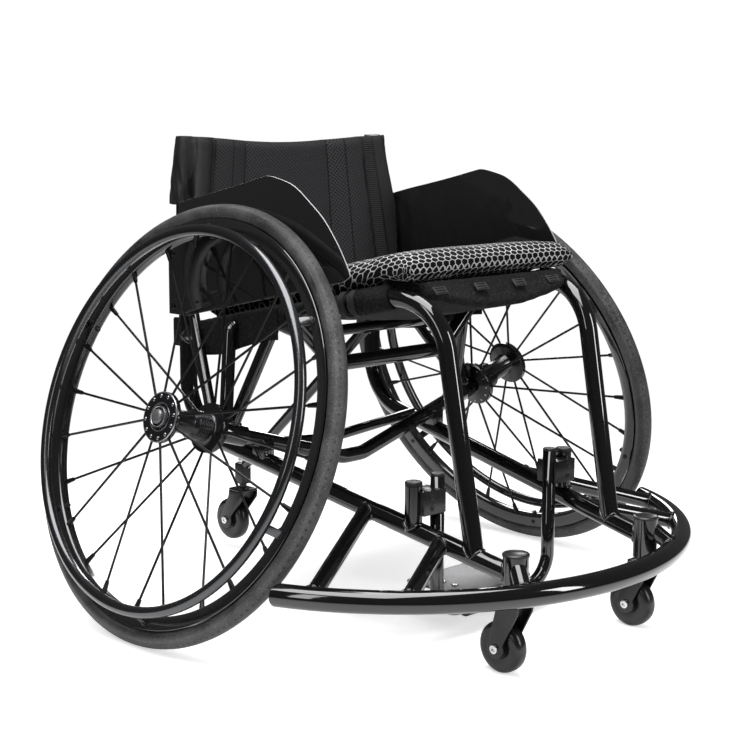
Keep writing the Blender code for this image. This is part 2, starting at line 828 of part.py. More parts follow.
def make_clamp(side):
    """Black block between the socket and the footrest tube, with half of each in a groove in its end."""
    name = "footrest_clamp_" + side_name(side)
    inner = FOOT_TUBE[0] - CLAMP_PAST
    outer = SOCKET[0] + CLAMP_PAST
    middle = (SOCKET[1] + FOOT_TUBE[1]) / 2
    bevel = CLAMP_BEVEL
    low = middle - CLAMP_HALF_DEPTH
    high = middle + CLAMP_HALF_DEPTH
    outline = [
        (inner, low + bevel), (inner + bevel, low), (outer - bevel, low), (outer, low + bevel),
        (outer, high - bevel), (outer - bevel, high), (inner + bevel, high), (inner, high - bevel),
    ]
    outline = [(x * side, y) for x, y in outline]
    made = prism(name, outline, CLAMP_LOW, CLAMP_HIGH, matte_black(name), "Z")
    for (x, y), clear in ((SOCKET, SOCKET_R + GAP), (FOOT_TUBE, FOOT_TUBE_R + RUN_GAP)):
        hole = [(x * side, y, CLAMP_LOW - SOCKET_R), (x * side, y, CLAMP_HIGH + SOCKET_R)]
        cut(made, sweep("tool", hole, clear / math.cos(math.pi / 12)))


def make_footrest_tubes():
    """One tube bent to a U, both legs open at the top."""
    name = "footrest_tube"
    x, y = FOOT_TUBE
    points = [(-x, y, FOOT_TUBE_TOP), (-x, y, FOOT_CROSS_Z), (x, y, FOOT_CROSS_Z), (x, y, FOOT_TUBE_TOP)]
    made = sweep(name, rounded_path(points, [FOOT_BEND_R, FOOT_BEND_R]), FOOT_TUBE_R, black_paint(name))
    for side in (-1, 1):
        past = FOOT_TUBE_BORE_DEPTH + 0.01
        bore = [(0, 0), (0, FOOT_TUBE_BORE_R), (past, FOOT_TUBE_BORE_R), (past, 0)]
        floor = FOOT_TUBE_TOP - FOOT_TUBE_BORE_DEPTH
        cut(made, revolve("tool", bore, upright_place(side * x, y, floor), steps=12))


def make_footplate():
    """Plate on two collars, which grip the footrest's cross tube and reach back under the plate."""
    name = "footplate"
    rear = PLATE_REAR_Y
    front = PLATE_FRONT_Y
    half = PLATE_HALF
    corner = PLATE_REAR_CORNER
    bend = PLATE_FRONT_CORNER
    outline = [
        (-half, rear - corner), (-half + corner, rear), (half - corner, rear), (half, rear - corner),
        (half, front + bend), (half - 0.27 * bend, front + 0.4 * bend), (half - 0.87 * bend, front),
        (-half + 0.87 * bend, front), (-half + 0.27 * bend, front + 0.4 * bend), (-half, front + bend),
    ]
    made = prism(name, outline, PLATE_TOP - PLATE_THICK, PLATE_TOP, black_anodised(name), "Z")
    y = FOOT_TUBE[1]
    under = PLATE_TOP - PLATE_THICK
    for side in (-1, 1):
        left = side * COLLAR_X - COLLAR_HALF
        right = side * COLLAR_X + COLLAR_HALF
        join(made, sweep("tool", [(left, y, FOOT_CROSS_Z), (right, y, FOOT_CROSS_Z)], COLLAR_R))
        low = (left, y - FOOT_TUBE_R, under - TONGUE_THICK)
        high = (right, TONGUE_REAR_Y, under + PLATE_THICK / 2)
        join(made, block("tool", low, high))
        hole = [(left - COLLAR_R, y, FOOT_CROSS_Z), (right + COLLAR_R, y, FOOT_CROSS_Z)]
        cut(made, sweep("tool", hole, (FOOT_TUBE_R + GAP) / math.cos(math.pi / 12)))


# Wheels


def make_tyre(side):
    name = "tyre_" + side_name(side)
    ring_r = TYRE_OUTER_R - TYRE_SECTION_R
    tread = math.degrees(CAMBER)
    profile = []
    for degrees in (90 - tread, 90 + tread, 150, 195, 245, 295, 345, 30):
        angle = math.radians(degrees)
        profile.append((math.cos(angle) * TYRE_SECTION_R, ring_r + math.sin(angle) * TYRE_SECTION_R))
    revolve(name, profile, wheel_place(side), tyre_rubber(name), steps=WHEEL_STEPS)


def make_rim(side):
    name = "rim_" + side_name(side)
    w = RIM_HALF_WIDTH
    profile = [
        (w, RIM_EDGE_R), (w - 0.002, RIM_INNER_R + 0.003), (w - 0.005, RIM_INNER_R),
        (-w + 0.005, RIM_INNER_R), (-w + 0.002, RIM_INNER_R + 0.003), (-w, RIM_EDGE_R), (0, RIM_VALLEY_R),
    ]
    revolve(name, profile, wheel_place(side), black_paint(name), steps=WHEEL_STEPS)


def make_handrim(side):
    """Push ring with its tabs to the rim."""
    name = "handrim_" + side_name(side)
    profile = []
    for part in range(8):
        angle = 2 * math.pi * part / 8
        along = HANDRIM_OFFSET + math.cos(angle) * HANDRIM_TUBE_R
        profile.append((along, HANDRIM_R + math.sin(angle) * HANDRIM_TUBE_R))
    place = wheel_place(side)
    made = revolve(name, profile, place, black_anodised(name), steps=WHEEL_STEPS)
    foot = Vector((RIM_HALF_WIDTH - 0.0001, 0, (RIM_INNER_R + RIM_EDGE_R) / 2))
    head = Vector((HANDRIM_OFFSET, 0, HANDRIM_R))
    for part in range(TAB_COUNT):
        turn = Matrix.Rotation(TAB_PHASE + 2 * math.pi * part / TAB_COUNT, 4, "X")
        along = head - foot
        lean = Matrix.Translation((foot + head) / 2) @ Matrix.Rotation(math.atan2(-along.z, along.x), 4, "Y")
        half = along.length / 2
        tab = block(
            "tool",
            (-half, -TAB_HALF_WIDTH, -TAB_HALF_THICK),
            (half, TAB_HALF_WIDTH, TAB_HALF_THICK),
            place=place @ turn @ lean,
        )
        boolean(made, tab, "UNION")
    smooth_by_angle(made)


def make_hub(side):
    """Hub shell with its bearing bore and the radial spokes."""
    name = "hub_and_spokes_" + side_name(side)
    bore = (AXLE_R + RUN_GAP) / math.cos(math.pi / 20)
    flange = HUB_FLANGE_R
    profile = [
        (HUB_IN, bore), (HUB_IN, 0.018), (HUB_IN + 0.004, flange),
        (HUB_IN + 0.014, flange), (HUB_IN + 0.017, HUB_BARREL_R), (-0.015, HUB_BARREL_R),
        (-0.010, HUB_NECK_R), (0.026, HUB_NECK_R), (0.032, flange),
        (HUB_OUT, flange), (HUB_OUT, HUB_RECESS_R),
        (HUB_OUT - HUB_RECESS_DEPTH, HUB_RECESS_R), (HUB_OUT - HUB_RECESS_DEPTH, bore),
    ]
    place = wheel_place(side)
    made = revolve(name, profile, place, black_anodised(name), steps=20)
    shape = bmesh.new()
    inner_end = flange - 0.004
    outer_end = RIM_INNER_R * math.cos(math.pi / WHEEL_STEPS) - 0.0006
    for part in range(SPOKE_COUNT):
        outward = part % 2 == 0
        along = (HUB_OUT - 0.0045) if outward else (HUB_IN + 0.0095)
        finish_along = SPOKE_END_OFFSET if outward else -SPOKE_END_OFFSET
        angle = SPOKE_PHASE + 2 * math.pi * part / SPOKE_COUNT
        radial = Vector((0, math.cos(angle), math.sin(angle)))
        start = Vector((along, 0, 0)) + radial * inner_end
        end = Vector((finish_along, 0, 0)) + radial * outer_end
        line = (end - start).normalized()
        first = line.cross(radial.cross(Vector((1, 0, 0)))).normalized()
        second = line.cross(first)
        rings = []
        for point in (start, end):
            offsets = (first, second, -first, -second)
            rings.append([shape.verts.new(place @ (point + offset * SPOKE_R)) for offset in offsets])
        for index in range(4):
            after = (index + 1) % 4
            shape.faces.new((rings[0][index], rings[0][after], rings[1][after], rings[1][index]))
        shape.faces.new(rings[0])
        shape.faces.new(rings[1])
    join(made, finish("tool", shape, None, smooth=False))


def make_axle(side):
    """Quick-release pin that stays in the receiver."""
    name = "axle_pin_" + side_name(side)
    seat = HUB_OUT - HUB_RECESS_DEPTH + 0.0004
    pocket = AXLE_HEAD_OUT - BUTTON_POCKET_DEPTH
    clear = (BUTTON_R + RUN_GAP) / math.cos(math.pi / 16)
    profile = [
        (AXLE_IN, 0), (AXLE_IN, AXLE_R - 0.001), (AXLE_IN + 0.001, AXLE_R), (seat, AXLE_R),
        (seat, AXLE_HEAD_R), (AXLE_HEAD_OUT - 0.001, AXLE_HEAD_R), (AXLE_HEAD_OUT, AXLE_HEAD_R - 0.001),
        (AXLE_HEAD_OUT, clear), (pocket, clear), (pocket, 0),
    ]
    revolve(name, profile, wheel_place(side), bright_steel(name), steps=16)


def make_button(side):
    """Domed release button in the pin's head."""
    name = "release_button_" + side_name(side)
    base = AXLE_HEAD_OUT - BUTTON_POCKET_DEPTH + BUTTON_TRAVEL + GAP
    profile = [
        (base, 0), (base, BUTTON_R), (BUTTON_OUT - 0.0035, BUTTON_R), (BUTTON_OUT - 0.0012, BUTTON_R * 0.72),
        (BUTTON_OUT, BUTTON_R * 0.3), (BUTTON_OUT, 0),
    ]
    revolve(name, profile, wheel_place(side), black_anodised(name), steps=16)


# Castors and anti-tip wheel


def fork_plate_outline(trail, axle_z, top, width):
    """Rounded side plate of a fork, as (distance back, height) points."""
    points = [(-FORK_HALF_DEPTH, top), (FORK_HALF_DEPTH, top)]
    for degrees in (20, -10, -40, -70, -100, -130, -160):
        angle = math.radians(degrees)
        points.append((trail + width * math.cos(angle), axle_z + width * math.sin(angle)))
    return points


def make_fork(name, x, y, crown_top, trail, axle_z, inside, stem_top):
    """Crown, two side plates and a stem in one piece."""
    look = matte_black(name)
    crown_low = crown_top - FORK_CROWN_THICK
    outside = inside + FORK_PLATE
    half = FORK_HALF_DEPTH
    made = block(name, (x - outside, y - half, crown_low), (x + outside, y + half, crown_top), look)
    outline = fork_plate_outline(trail, axle_z, crown_low + 0.001, FORK_FOOT_R)
    outline = [(y + back, z) for back, z in outline]
    for low in (x - outside, x + inside):
        join(made, prism("tool", outline, low, low + FORK_PLATE))
    stem = [(-0.002, 0), (-0.002, STEM_R), (stem_top - crown_top, STEM_R), (stem_top - crown_top, 0)]
    join(made, revolve("tool", stem, upright_place(x, y, crown_top), steps=12))
    hole = (BOLT_R + GAP) / math.cos(math.pi / 10)
    place = Matrix.Translation((x, y + trail, axle_z))
    reach = 2 * outside
    cut(made, revolve("tool", [(-reach, 0), (-reach, hole), (reach, hole), (reach, 0)], place, steps=10))


def make_small_wheel(name, x, y, z, radius, half):
    """Solid wheel with a raised hub, bored for its bolt."""
    bore = (BOLT_R + RUN_GAP) / math.cos(math.pi / 20)
    hub = half + 0.0012
    profile = [
        (-hub, bore), (-hub, HUB_FACE_R), (-half + 0.001, HUB_FACE_R + 0.0005), (-half, radius * 0.70),
        (-half + 0.0035, radius - 0.0015), (0, radius), (half - 0.0035, radius - 0.0015),
        (half, radius * 0.70), (half - 0.001, HUB_FACE_R + 0.0005), (hub, HUB_FACE_R), (hub, bore),
    ]
    revolve(name, profile, Matrix.Translation((x, y, z)), tyre_rubber(name), steps=20)


def make_bolt(name, x, y, z, inside):
    """Axle bolt with a round head on the user's right and a nut on the left."""
    outside = inside + FORK_PLATE + GAP
    profile = [
        (-outside - 0.0035, 0), (-outside - 0.0035, BOLT_HEAD_R - 0.0015), (-outside - 0.002, BOLT_HEAD_R),
        (-outside, BOLT_HEAD_R), (-outside, BOLT_R), (outside, BOLT_R),
        (outside, BOLT_HEAD_R), (outside + 0.003, BOLT_HEAD_R), (outside + 0.003, 0),
    ]
    revolve(name, profile, Matrix.Translation((x, y, z)), bright_steel(name), steps=10)


def make_castor(side):
    ending = side_name(side)
    x = side * HOUSING_X
    stem_top = HOUSING_BASE + STEM_DEPTH
    sizes = (FORK_CROWN_TOP, CASTOR_TRAIL, CASTOR_R, FORK_INSIDE, stem_top)
    make_fork("castor_fork_" + ending, x, HOUSING_Y, *sizes)
    axle_y = HOUSING_Y + CASTOR_TRAIL
    make_small_wheel("castor_wheel_" + ending, x, axle_y, CASTOR_R, CASTOR_R, CASTOR_HALF_WIDTH)
    make_bolt("castor_bolt_" + ending, x, axle_y, CASTOR_R, FORK_INSIDE)


def make_tail_wheel():
    stem_top = TAIL_HOLDER_BASE + TAIL_STEM_DEPTH
    sizes = (TAIL_CROWN_TOP, TAIL_TRAIL, TAIL_WHEEL_Z, TAIL_FORK_INSIDE, stem_top)
    make_fork("tail_fork", 0, TAIL_Y, *sizes)
    axle_y = TAIL_Y + TAIL_TRAIL
    make_small_wheel("tail_wheel", 0, axle_y, TAIL_WHEEL_Z, TAIL_WHEEL_R, TAIL_WHEEL_HALF)
    make_bolt("tail_bolt", 0, axle_y, TAIL_WHEEL_Z, TAIL_FORK_INSIDE)


# Seat, back and guards


def sag_at(y):
    """How far the sling hangs below the rails in the middle."""
    share = min(1.0, max(0.0, (RAIL_MID[1] - y) / (RAIL_MID[1] - SAG_FULL_Y)))
    return SAG_REAR + (SAG_FRONT - SAG_REAR) * share


def sling_line(y, radius):
    """Half of the sling's section on one side of the cloth, from the wrap to the middle."""
    x, _, z = rail_at(y)
    sag = sag_at(y)
    lean = math.atan2(2 * sag, x)
    points = []
    step = (math.pi / 2 + lean - WRAP_START) / WRAP_STEPS
    reach = radius / math.cos(step / 2)
    for part in range(WRAP_STEPS + 1):
        angle = WRAP_START + step * part
        points.append((x + reach * math.cos(angle), z + reach * math.sin(angle)))
    edge_x, edge_z = points[-1]
    for part in range(1, 6):
        share = part / 5
        points.append((edge_x * (1 - share), edge_z - sag * (1 - (1 - share) ** 2)))
    return points


def sling_top(x, y):
    """Height of the sling's upper face at a place on the seat."""
    half = sling_line(y, WRAP_R + CLOTH)
    reach = abs(x)
    if reach > half[WRAP_STEPS][0]:
        return max(z for _, z in half)
    for (x1, z1), (x2, z2) in zip(half, half[1:]):
        if x2 <= reach <= x1:
            return z2 + (z1 - z2) * (reach - x2) / (x1 - x2)
    return half[-1][1]


def lip_top(x, y):
    """Height of the lip's upper face, in front of the sling."""
    share = (SEAT_FRONT_Y - y) / (SEAT_FRONT_Y - LIP_FRONT_Y)
    return sling_top(0, SEAT_FRONT_Y) + LIP_RISE * share + LIP_CURVE * (x / LIP_HALF) ** 2


def skin(rows, flipped=()):
    """Skin between point rings, split along one diagonal, or the other at the flipped places."""
    shape = bmesh.new()
    rings = [[shape.verts.new(point) for point in row] for row in rows]
    size = len(rings[0])
    for first, second in zip(rings, rings[1:]):
        for index in range(size):
            after = (index + 1) % size
            corners = [first[index], first[after], second[after], second[index]]
            if index in flipped:
                corners = corners[1:] + corners[:1]
            shape.faces.new(corners[:3])
            shape.faces.new((corners[0], corners[2], corners[3]))
    return shape, rings


def sheet(name, rows, look):
    """Close a skin from rows that hold the upper points, then the lower ones back again."""
    shape, rings = skin(rows)
    size = len(rings[0])
    for ring in (rings[0], rings[-1]):
        for index in range(size // 2 - 1):
            shape.faces.new((ring[index], ring[index + 1], ring[size - 2 - index], ring[size - 1 - index]))
    return finish(name, shape, look)


def face_rows():
    """Rows of the sling's front face, from the lip's fold up to the cushion's lower edge."""
    rows = []
    across = [(LIP_HALF - FACE_SET_IN) * (1 - column / 4) for column in range(9)]
    for share in (0.0, 0.5, 1.0):
        y = LIP_FRONT_Y + FACE_SET_IN + (FACE_TOP_Y - LIP_FRONT_Y - FACE_SET_IN) * share
        outer = []
        for x in across:
            fold = lip_top(x, LIP_FRONT_Y) - LIP_THICK + FACE_SET_IN
            outer.append((x, y, fold + (FACE_TOP - fold) * share))
        inner = [(x, y + LIP_THICK, z) for x, y, z in outer]
        rows.append(outer + inner[::-1])
    return rows


def make_sling():
    """Seat sling, wrapped over both rails, with a lip between the bends and a face turned up from it."""
    name = "seat_sling"
    rows = []
    for y in SEAT_STATIONS:
        upper = sling_line(y, WRAP_R + CLOTH)
        lower = sling_line(y, WRAP_R)
        top = [(x, z) for x, z in upper] + [(-x, z) for x, z in upper[-2::-1]]
        low = [(x, z) for x, z in lower] + [(-x, z) for x, z in lower[-2::-1]]
        rows.append([(x, y, z) for x, z in top] + [(x, y, z) for x, z in low[::-1]])
    made = sheet(name, rows, black_fabric(name))
    lip_rows = []
    for y in (SEAT_FRONT_Y + LIP_OVERLAP, *LIP_STATIONS):
        across = [LIP_HALF * (1 - column / 4) for column in range(9)]
        upper = [(x, y, lip_top(x, y)) for x in across]
        lower = [(x, y, lip_top(x, y) - LIP_THICK) for x in across]
        lip_rows.append(upper + lower[::-1])
    join(made, sheet("tool", lip_rows, None))
    join(made, sheet("tool", face_rows(), None))
    for side in (-1, 1):
        post = sweep("tool", post_path(side), POST_R + CLOTH_GAP)
        strut = sweep("tool", rear_strut_path(side), REAR_STRUT_R + CLOTH_GAP)
        cut(made, post, strut)


def cushion_half_width(y):
    share = (CUSHION_REAR_Y - y) / (CUSHION_REAR_Y - CUSHION_FRONT_Y)
    return CUSHION_HALF_REAR + (CUSHION_HALF_FRONT - CUSHION_HALF_REAR) * share


def cushion_top(x, y):
    """Crowned top that follows the rails, with drawn-in edges."""
    level = rail_at(max(y, SEAT_FRONT_Y))[2] + SIDE_TUBE_R + CLOTH + CUSHION_RISE
    level += 0.05 * max(0.0, SEAT_FRONT_Y - y)
    across = abs(x) / cushion_half_width(y)
    return level - CUSHION_CROWN * across ** 4


def cushion_floor(x, y):
    """Lowest height of the cushion over the sling and the lip's front face."""
    station = max(y, SEAT_FRONT_Y)
    floor = sling_top(x, station)
    if abs(x) > 0.98 * sling_line(station, WRAP_R + CLOTH)[WRAP_STEPS][0]:
        floor = sling_top(1.0, station)
    if y < SEAT_FRONT_Y:
        floor = max(floor, FACE_TOP)
    return floor + SEAT_GAP


def make_cushion():
    """Seat cushion with a crown, rounded sides and a belly that fills the sling."""
    name = "seat_cushion"
    rows = []
    rear = [CUSHION_REAR_Y, CUSHION_REAR_Y - CUSHION_EDGE]
    front = [CUSHION_FRONT_Y + CUSHION_NOSE, CUSHION_FRONT_Y]
    ys = [*rear, *SEAT_STATIONS[1:], *front]
    for y in ys:
        edge = CUSHION_EDGE if y in (CUSHION_REAR_Y, CUSHION_FRONT_Y) else 0.0
        half = cushion_half_width(y) - edge
        knots = [point[0] for point in sling_line(max(y, SEAT_FRONT_Y), WRAP_R + CLOTH)[WRAP_STEPS:]]
        across = [half, *knots]
        across += [-x for x in across[-2::-1]]
        upper = [(x, y, cushion_top(x, y) - edge) for x in across]
        lower = [(x, y, cushion_floor(x, y) + edge) for x in across]
        for line, drop in ((upper, -SIDE_ROUND), (lower, SIDE_ROUND)):
            for end in (0, -1):
                line[end] = (line[end][0], y, line[end][2] + drop)
        middle = (upper[0][2] + lower[0][2]) / 2
        side = half + CUSHION_SIDE_BULGE
        rows.append([(side, y, middle), *upper, (-side, y, middle), *lower[::-1]])
    count = len(across)
    shape, rings = skin(rows, range(count + 2, 2 * count + 1))
    for ring in (rings[0], rings[-1]):
        shape.faces.new((ring[0], ring[1], ring[-1]))
        for index in range(1, count):
            shape.faces.new((ring[index], ring[index + 1], ring[-index - 1], ring[-index]))
        shape.faces.new((ring[count], ring[count + 1], ring[count + 2]))
    finish(name, shape, black_fabric(name))


def back_depth(x):
    """How far back the upholstery's front face lies at a distance from the middle."""
    share = abs(x) / BACK_HALF
    return BACK_FRONT_Y + BACK_DISH * (1 - share ** 2)


def back_row(z):
    """The section of the upholstery at one height, as one ring of points."""
    edge = BACK_HEM if z in (BACK_BASE, BACK_TOP) else 0.0
    dip = BACK_DIP if z > BACK_HEIGHTS[4] else 0.0
    wrap = SIDE_TUBE_R + SLEEVE_WALL
    front = []
    back = []
    for x in BACK_STATIONS:
        level = z - dip * (1 - (x / BACK_HALF) ** 2) ** 2
        front.append((x, back_depth(x) + edge, level))
        if x < UPRIGHT_X - wrap:
            back.append((x, back_depth(x) + BACK_PAD - edge, level))
    y = UPRIGHT_Y
    sleeve = [
        (BACK_HALF + 0.003 - edge, y - 0.011, z), (BACK_HALF + 0.001 - edge, y + 0.007, z),
        (UPRIGHT_X + 0.008, y + wrap + 0.0013 - edge, z), (UPRIGHT_X - 0.010, y + wrap + 0.0003 - edge, z),
        (UPRIGHT_X - 0.020, y + 0.007 - edge, z),
    ]
    half = front[-2::-1] + sleeve + back[:-1]
    other = [(-x, depth, level) for x, depth, level in half[::-1]]
    return [front[-1], *half, back[-1], *other]


def make_back():
    """Padded back upholstery, dished between the posts, with a sleeve round each post."""
    name = "back_upholstery"
    rows = [back_row(z) for z in BACK_HEIGHTS]
    shape = bmesh.new()
    rings = [[shape.verts.new(point) for point in row] for row in rows]
    size = len(rings[0])
    for first, second in zip(rings, rings[1:]):
        for index in range(size):
            after = (index + 1) % size
            shape.faces.new((first[index], first[after], second[after], second[index]))
    shape.faces.new(rings[0])
    shape.faces.new(rings[-1])
    made = finish(name, shape, black_fabric(name))
    for side in (-1, 1):
        x = side * UPRIGHT_X
        bore = [(x, UPRIGHT_Y, BACK_BASE - 2 * SIDE_TUBE_R), (x, UPRIGHT_Y, UPRIGHT_TOP + GAP)]
        clear = (SIDE_TUBE_R + GAP) / math.cos(math.pi / 12)
        boolean(made, sweep("tool", bore, clear), "DIFFERENCE")
        strut = sweep("tool", rear_strut_path(side), REAR_STRUT_R + CLOTH_GAP)
        boolean(made, strut, "DIFFERENCE")
        boolean(made, boss_solid(side, BOSS_HEIGHTS[1], BOSS_R + CLOTH_GAP), "DIFFERENCE")


def boss_solid(side, z, radius):
    """Short bar from the guard to the upright."""
    ends = sorted((side * UPRIGHT_X, side * (GUARD_X + 0.001)))
    profile = [(ends[0], 0), (ends[0], radius), (ends[1], radius), (ends[1], 0)]
    return revolve("tool", profile, Matrix.Translation((0, UPRIGHT_Y, z)), steps=10)


def make_guard(side):
    """Flat side guard with bosses to the upright."""
    name = "side_guard_" + side_name(side)
    low = GUARD_X if side > 0 else -GUARD_X - GUARD_THICK
    made = prism(name, GUARD_OUTLINE, low, low + GUARD_THICK, glossy_panel(name))
    cut(made, sweep("tool", rear_strut_path(side), REAR_STRUT_R + GAP))
    for z in BOSS_HEIGHTS:
        join(made, boss_solid(side, z, BOSS_R))
    cut(made, side_tube_tool(side))


# Placing


def centred(point):
    """A point written from the axle line, moved so the box is centred on Y = 0."""
    return Vector(point) - Vector((0, BOX_CENTRE_FROM_AXLE, 0))


def centre_on_origin():
    """Move every piece so the box is centred on Y = 0."""
    for item in bpy.data.objects:
        item.data.transform(Matrix.Translation(centred((0, 0, 0))))


def hang(name, pivot, pieces, carrier=None):
    """Hang pieces on an empty that stands on their joint's axis."""
    pivot = centred(pivot)
    empty = bpy.data.objects.new(name, None)
    empty.empty_display_size = 0.03
    empty.location = pivot
    if carrier is not None:
        empty.parent = carrier
        empty.location = pivot - carrier.location
    bpy.context.scene.collection.objects.link(empty)
    for piece in pieces:
        item = bpy.data.objects[piece]
        item.data.transform(Matrix.Translation(-pivot))
        item.parent = empty
    return empty


def hang_moving_pieces():
    """Put each moving group on its own axis."""
    for side in (-1, 1):
        ending = side_name(side)
        centre = wheel_place(side).translation
        names = ("tyre_", "rim_", "handrim_", "hub_and_spokes_")
        hang("wheel_axis_" + ending, centre, [name + ending for name in names])
        hang("button_axis_" + ending, centre, ["release_button_" + ending])
        stem = (side * HOUSING_X, HOUSING_Y, HOUSING_BASE)
        axle = (side * HOUSING_X, HOUSING_Y + CASTOR_TRAIL, CASTOR_R)
        carrier = hang("castor_swivel_" + ending, stem, ["castor_fork_" + ending, "castor_bolt_" + ending])
        hang("castor_axis_" + ending, axle, ["castor_wheel_" + ending], carrier)
    carrier = hang("tail_swivel", (0, TAIL_Y, TAIL_HOLDER_BASE), ["tail_fork", "tail_bolt"])
    hang("tail_axis", (0, TAIL_Y + TAIL_TRAIL, TAIL_WHEEL_Z), ["tail_wheel"], carrier)
    hang("footrest_slide", (0, FOOT_TUBE[1], FOOT_TUBE_TOP), ["footrest_tube", "footplate"])
    hang("cushion_lift", (0, RAIL_MID[1], RAIL_MID[2]), ["seat_cushion"])


def build():
    clear_scene()
    for side in (-1, 1):
        make_side_tube(side)
        make_rail(side)
        make_post(side)
        make_brace(side)
        make_rear_strut(side)
        make_receiver(side)
        make_bumper_struts(side)
        make_housing(side)
        make_socket(side)
        make_clamp(side)
        make_tyre(side)
        make_rim(side)
        make_handrim(side)
        make_hub(side)
        make_axle(side)
        make_button(side)
        make_castor(side)
        make_guard(side)
    make_hoop()
    make_camber_bar()
    make_rear_cross()
    make_seat_cross()
    make_tail_strut()
    make_tail_holder()
    make_bumper()
    make_footrest_tubes()
    make_footplate()
    make_tail_wheel()
    make_sling()
    make_cushion()
    make_back()
    centre_on_origin()
    hang_moving_pieces()


build()
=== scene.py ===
"""Basketball wheelchair: finishes, soft goods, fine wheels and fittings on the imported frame."""

import json
import math

import bmesh
import bpy
from bpy.props import FloatProperty, FloatVectorProperty, IntProperty, PointerProperty
from mathutils import Matrix, Vector


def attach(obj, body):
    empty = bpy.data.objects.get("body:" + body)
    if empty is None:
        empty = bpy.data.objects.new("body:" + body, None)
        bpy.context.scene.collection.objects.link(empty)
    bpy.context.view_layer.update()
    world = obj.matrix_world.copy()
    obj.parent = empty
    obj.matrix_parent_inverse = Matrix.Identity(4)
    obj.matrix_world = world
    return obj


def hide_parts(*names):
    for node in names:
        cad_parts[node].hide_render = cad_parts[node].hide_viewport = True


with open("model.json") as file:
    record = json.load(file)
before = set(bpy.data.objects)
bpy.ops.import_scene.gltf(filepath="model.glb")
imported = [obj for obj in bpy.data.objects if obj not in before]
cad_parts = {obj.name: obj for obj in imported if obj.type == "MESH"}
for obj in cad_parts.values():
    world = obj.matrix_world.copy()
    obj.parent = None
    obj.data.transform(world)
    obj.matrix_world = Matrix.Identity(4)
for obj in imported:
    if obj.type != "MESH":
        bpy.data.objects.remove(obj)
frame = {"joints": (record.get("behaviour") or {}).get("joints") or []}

bl_info = {
    "name": "Basketball Wheelchair",
    "version": (1, 0, 0),
    "blender": (4, 5, 0),
    "location": "View3D > Sidebar > Wheelchair",
    "description": "Dresses the packed wheelchair with finishes, soft goods, wheels and fittings",
    "category": "Object",
}

JOINTS = {joint["name"]: joint for joint in frame["joints"]}
AXLE_Y = JOINTS["wheel_spin_left"]["pos_m"][1]
WHEEL_CENTRE = Vector((abs(JOINTS["wheel_spin_left"]["pos_m"][0]), 0, JOINTS["wheel_spin_left"]["pos_m"][2]))
CAMBER = math.asin(abs(JOINTS["wheel_spin_left"]["axis"][2]))
SIDES = ((-1, "right"), (1, "left"))

# Everything here is in metres from the axle line, and written for the left side

# Tubes: corners of their centre lines, and radii
TUBE_R = 0.0127
UPRIGHT = Vector((0.190, 0.151, 0.655))
SIDE_BEND_Z = 0.247
HOUSING = Vector((0.1377, -0.439, 0.130))
RAIL_REAR_Z = 0.383
RAIL_MID = Vector((0.197, 0.015, 0.413))
RAIL_FRONT = Vector((0.190, -0.090, 0.436))
RAIL_BEND = Vector((0.147, -0.3115, 0.485))
LEG_FOOT = Vector((0.1428, -0.3745, 0.1428))
POST_KNEE = Vector((0.2262, 0.0115, 0.4105))
BRACE_FOOT = Vector((0.2315, 0.006, 0.2655))
REAR_STRUT_START = Vector((0.2575, 0.010, 0.2725))
REAR_STRUT_HEAD_Z = 0.4665
POST_R = 0.0095
BRACE_R = 0.009
BRACE_Y = -0.051
THIN_R = 0.008
REAR_CROSS_Y = 0.048
HOOP_BEND = Vector((0.112, -0.077, 0.357))
CROSS_BEND = Vector((0.130, -0.030, 0.3955))
CROSS_MIDDLE = Vector((0, -0.030, 0.3955))
TAIL_STRUT_FOOT = Vector((0, 0.2475, 0.1443))
CAMBER_BAR_MIDDLE = Vector((0.020, 0, 0.199))
CAMBER_BAR_OVERLAP = 0.008
REAR_CROSS_RISE = 0.0069
REAR_CROSS_MIDDLE_Z = 0.218
SADDLE_RISE = 0.0165

# What the tubes are welded to
RECEIVER_X = 0.2455
RECEIVER_R = 0.015
RECEIVER_END = 0.113
HOUSING_R = 0.0165
HOUSING_BASE = 0.1015
BEAD_PARTS = 72

# Bumper and its struts: where each leaves the side tube (y) and meets the bumper (x)
BUMPER_Z = 0.1165
BUMPER_R = 0.015
BUMPER_END_Y = -0.2585
BUMPER_ARC_R = 0.410
BUMPER_FRONT_Y = -0.5055
STRUT_R = 0.011
STRUTS = {"rear": (-0.195, 0.3572), "front": (-0.321, 0.285)}
STUB_FOOT_X = 0.160
STUB_TOP_Z = 0.149

# Tail castor and footrest
TAIL_Y = 0.2557
TAIL_BLOCK_LOW = 0.112
TAIL_BLOCK_TOP = 0.1465
FOOT_TUBE = Vector((0.117, -0.284, 0.235))
SOCKET = Vector((0.1563, -0.2777, 0.2291))
SOCKET_R = 0.0118
FOOT_TUBE_R = 0.0095
FOOT_BAR_Z = 0.0395
PLATE_TOP = 0.0605
TONGUE_X = 0.050
CLAMP_LOW = 0.1845
CLAMP_TOP = 0.2165
CLAMP_SCREWS_Z = (0.1925, 0.2085)

# Wheels and castors
TYRE_OUTSIDE = 0.305
WHEEL_STEPS = 160
HANDRIM_OFFSET = 0.033
HANDRIM_TABS = 6
TAB_FOOT = Vector((0.0098, 0, 0.2725))
FIRST_SPOKE = math.radians(102.6)
FORK_PLATE = 0.003
FORK_HALF = 0.0175

# Forks: crown's top, trail, axle's height and half of the gap; wheels: half width, or radius and half width
FRONT_FORK = (0.0985, 0.0185, 0.034, 0.0135)
FRONT_WHEEL_HALF = 0.011
TAIL_FORK = (0.1045, 0.0263, 0.049, 0.013)
TAIL_WHEEL = (0.0335, 0.0105)

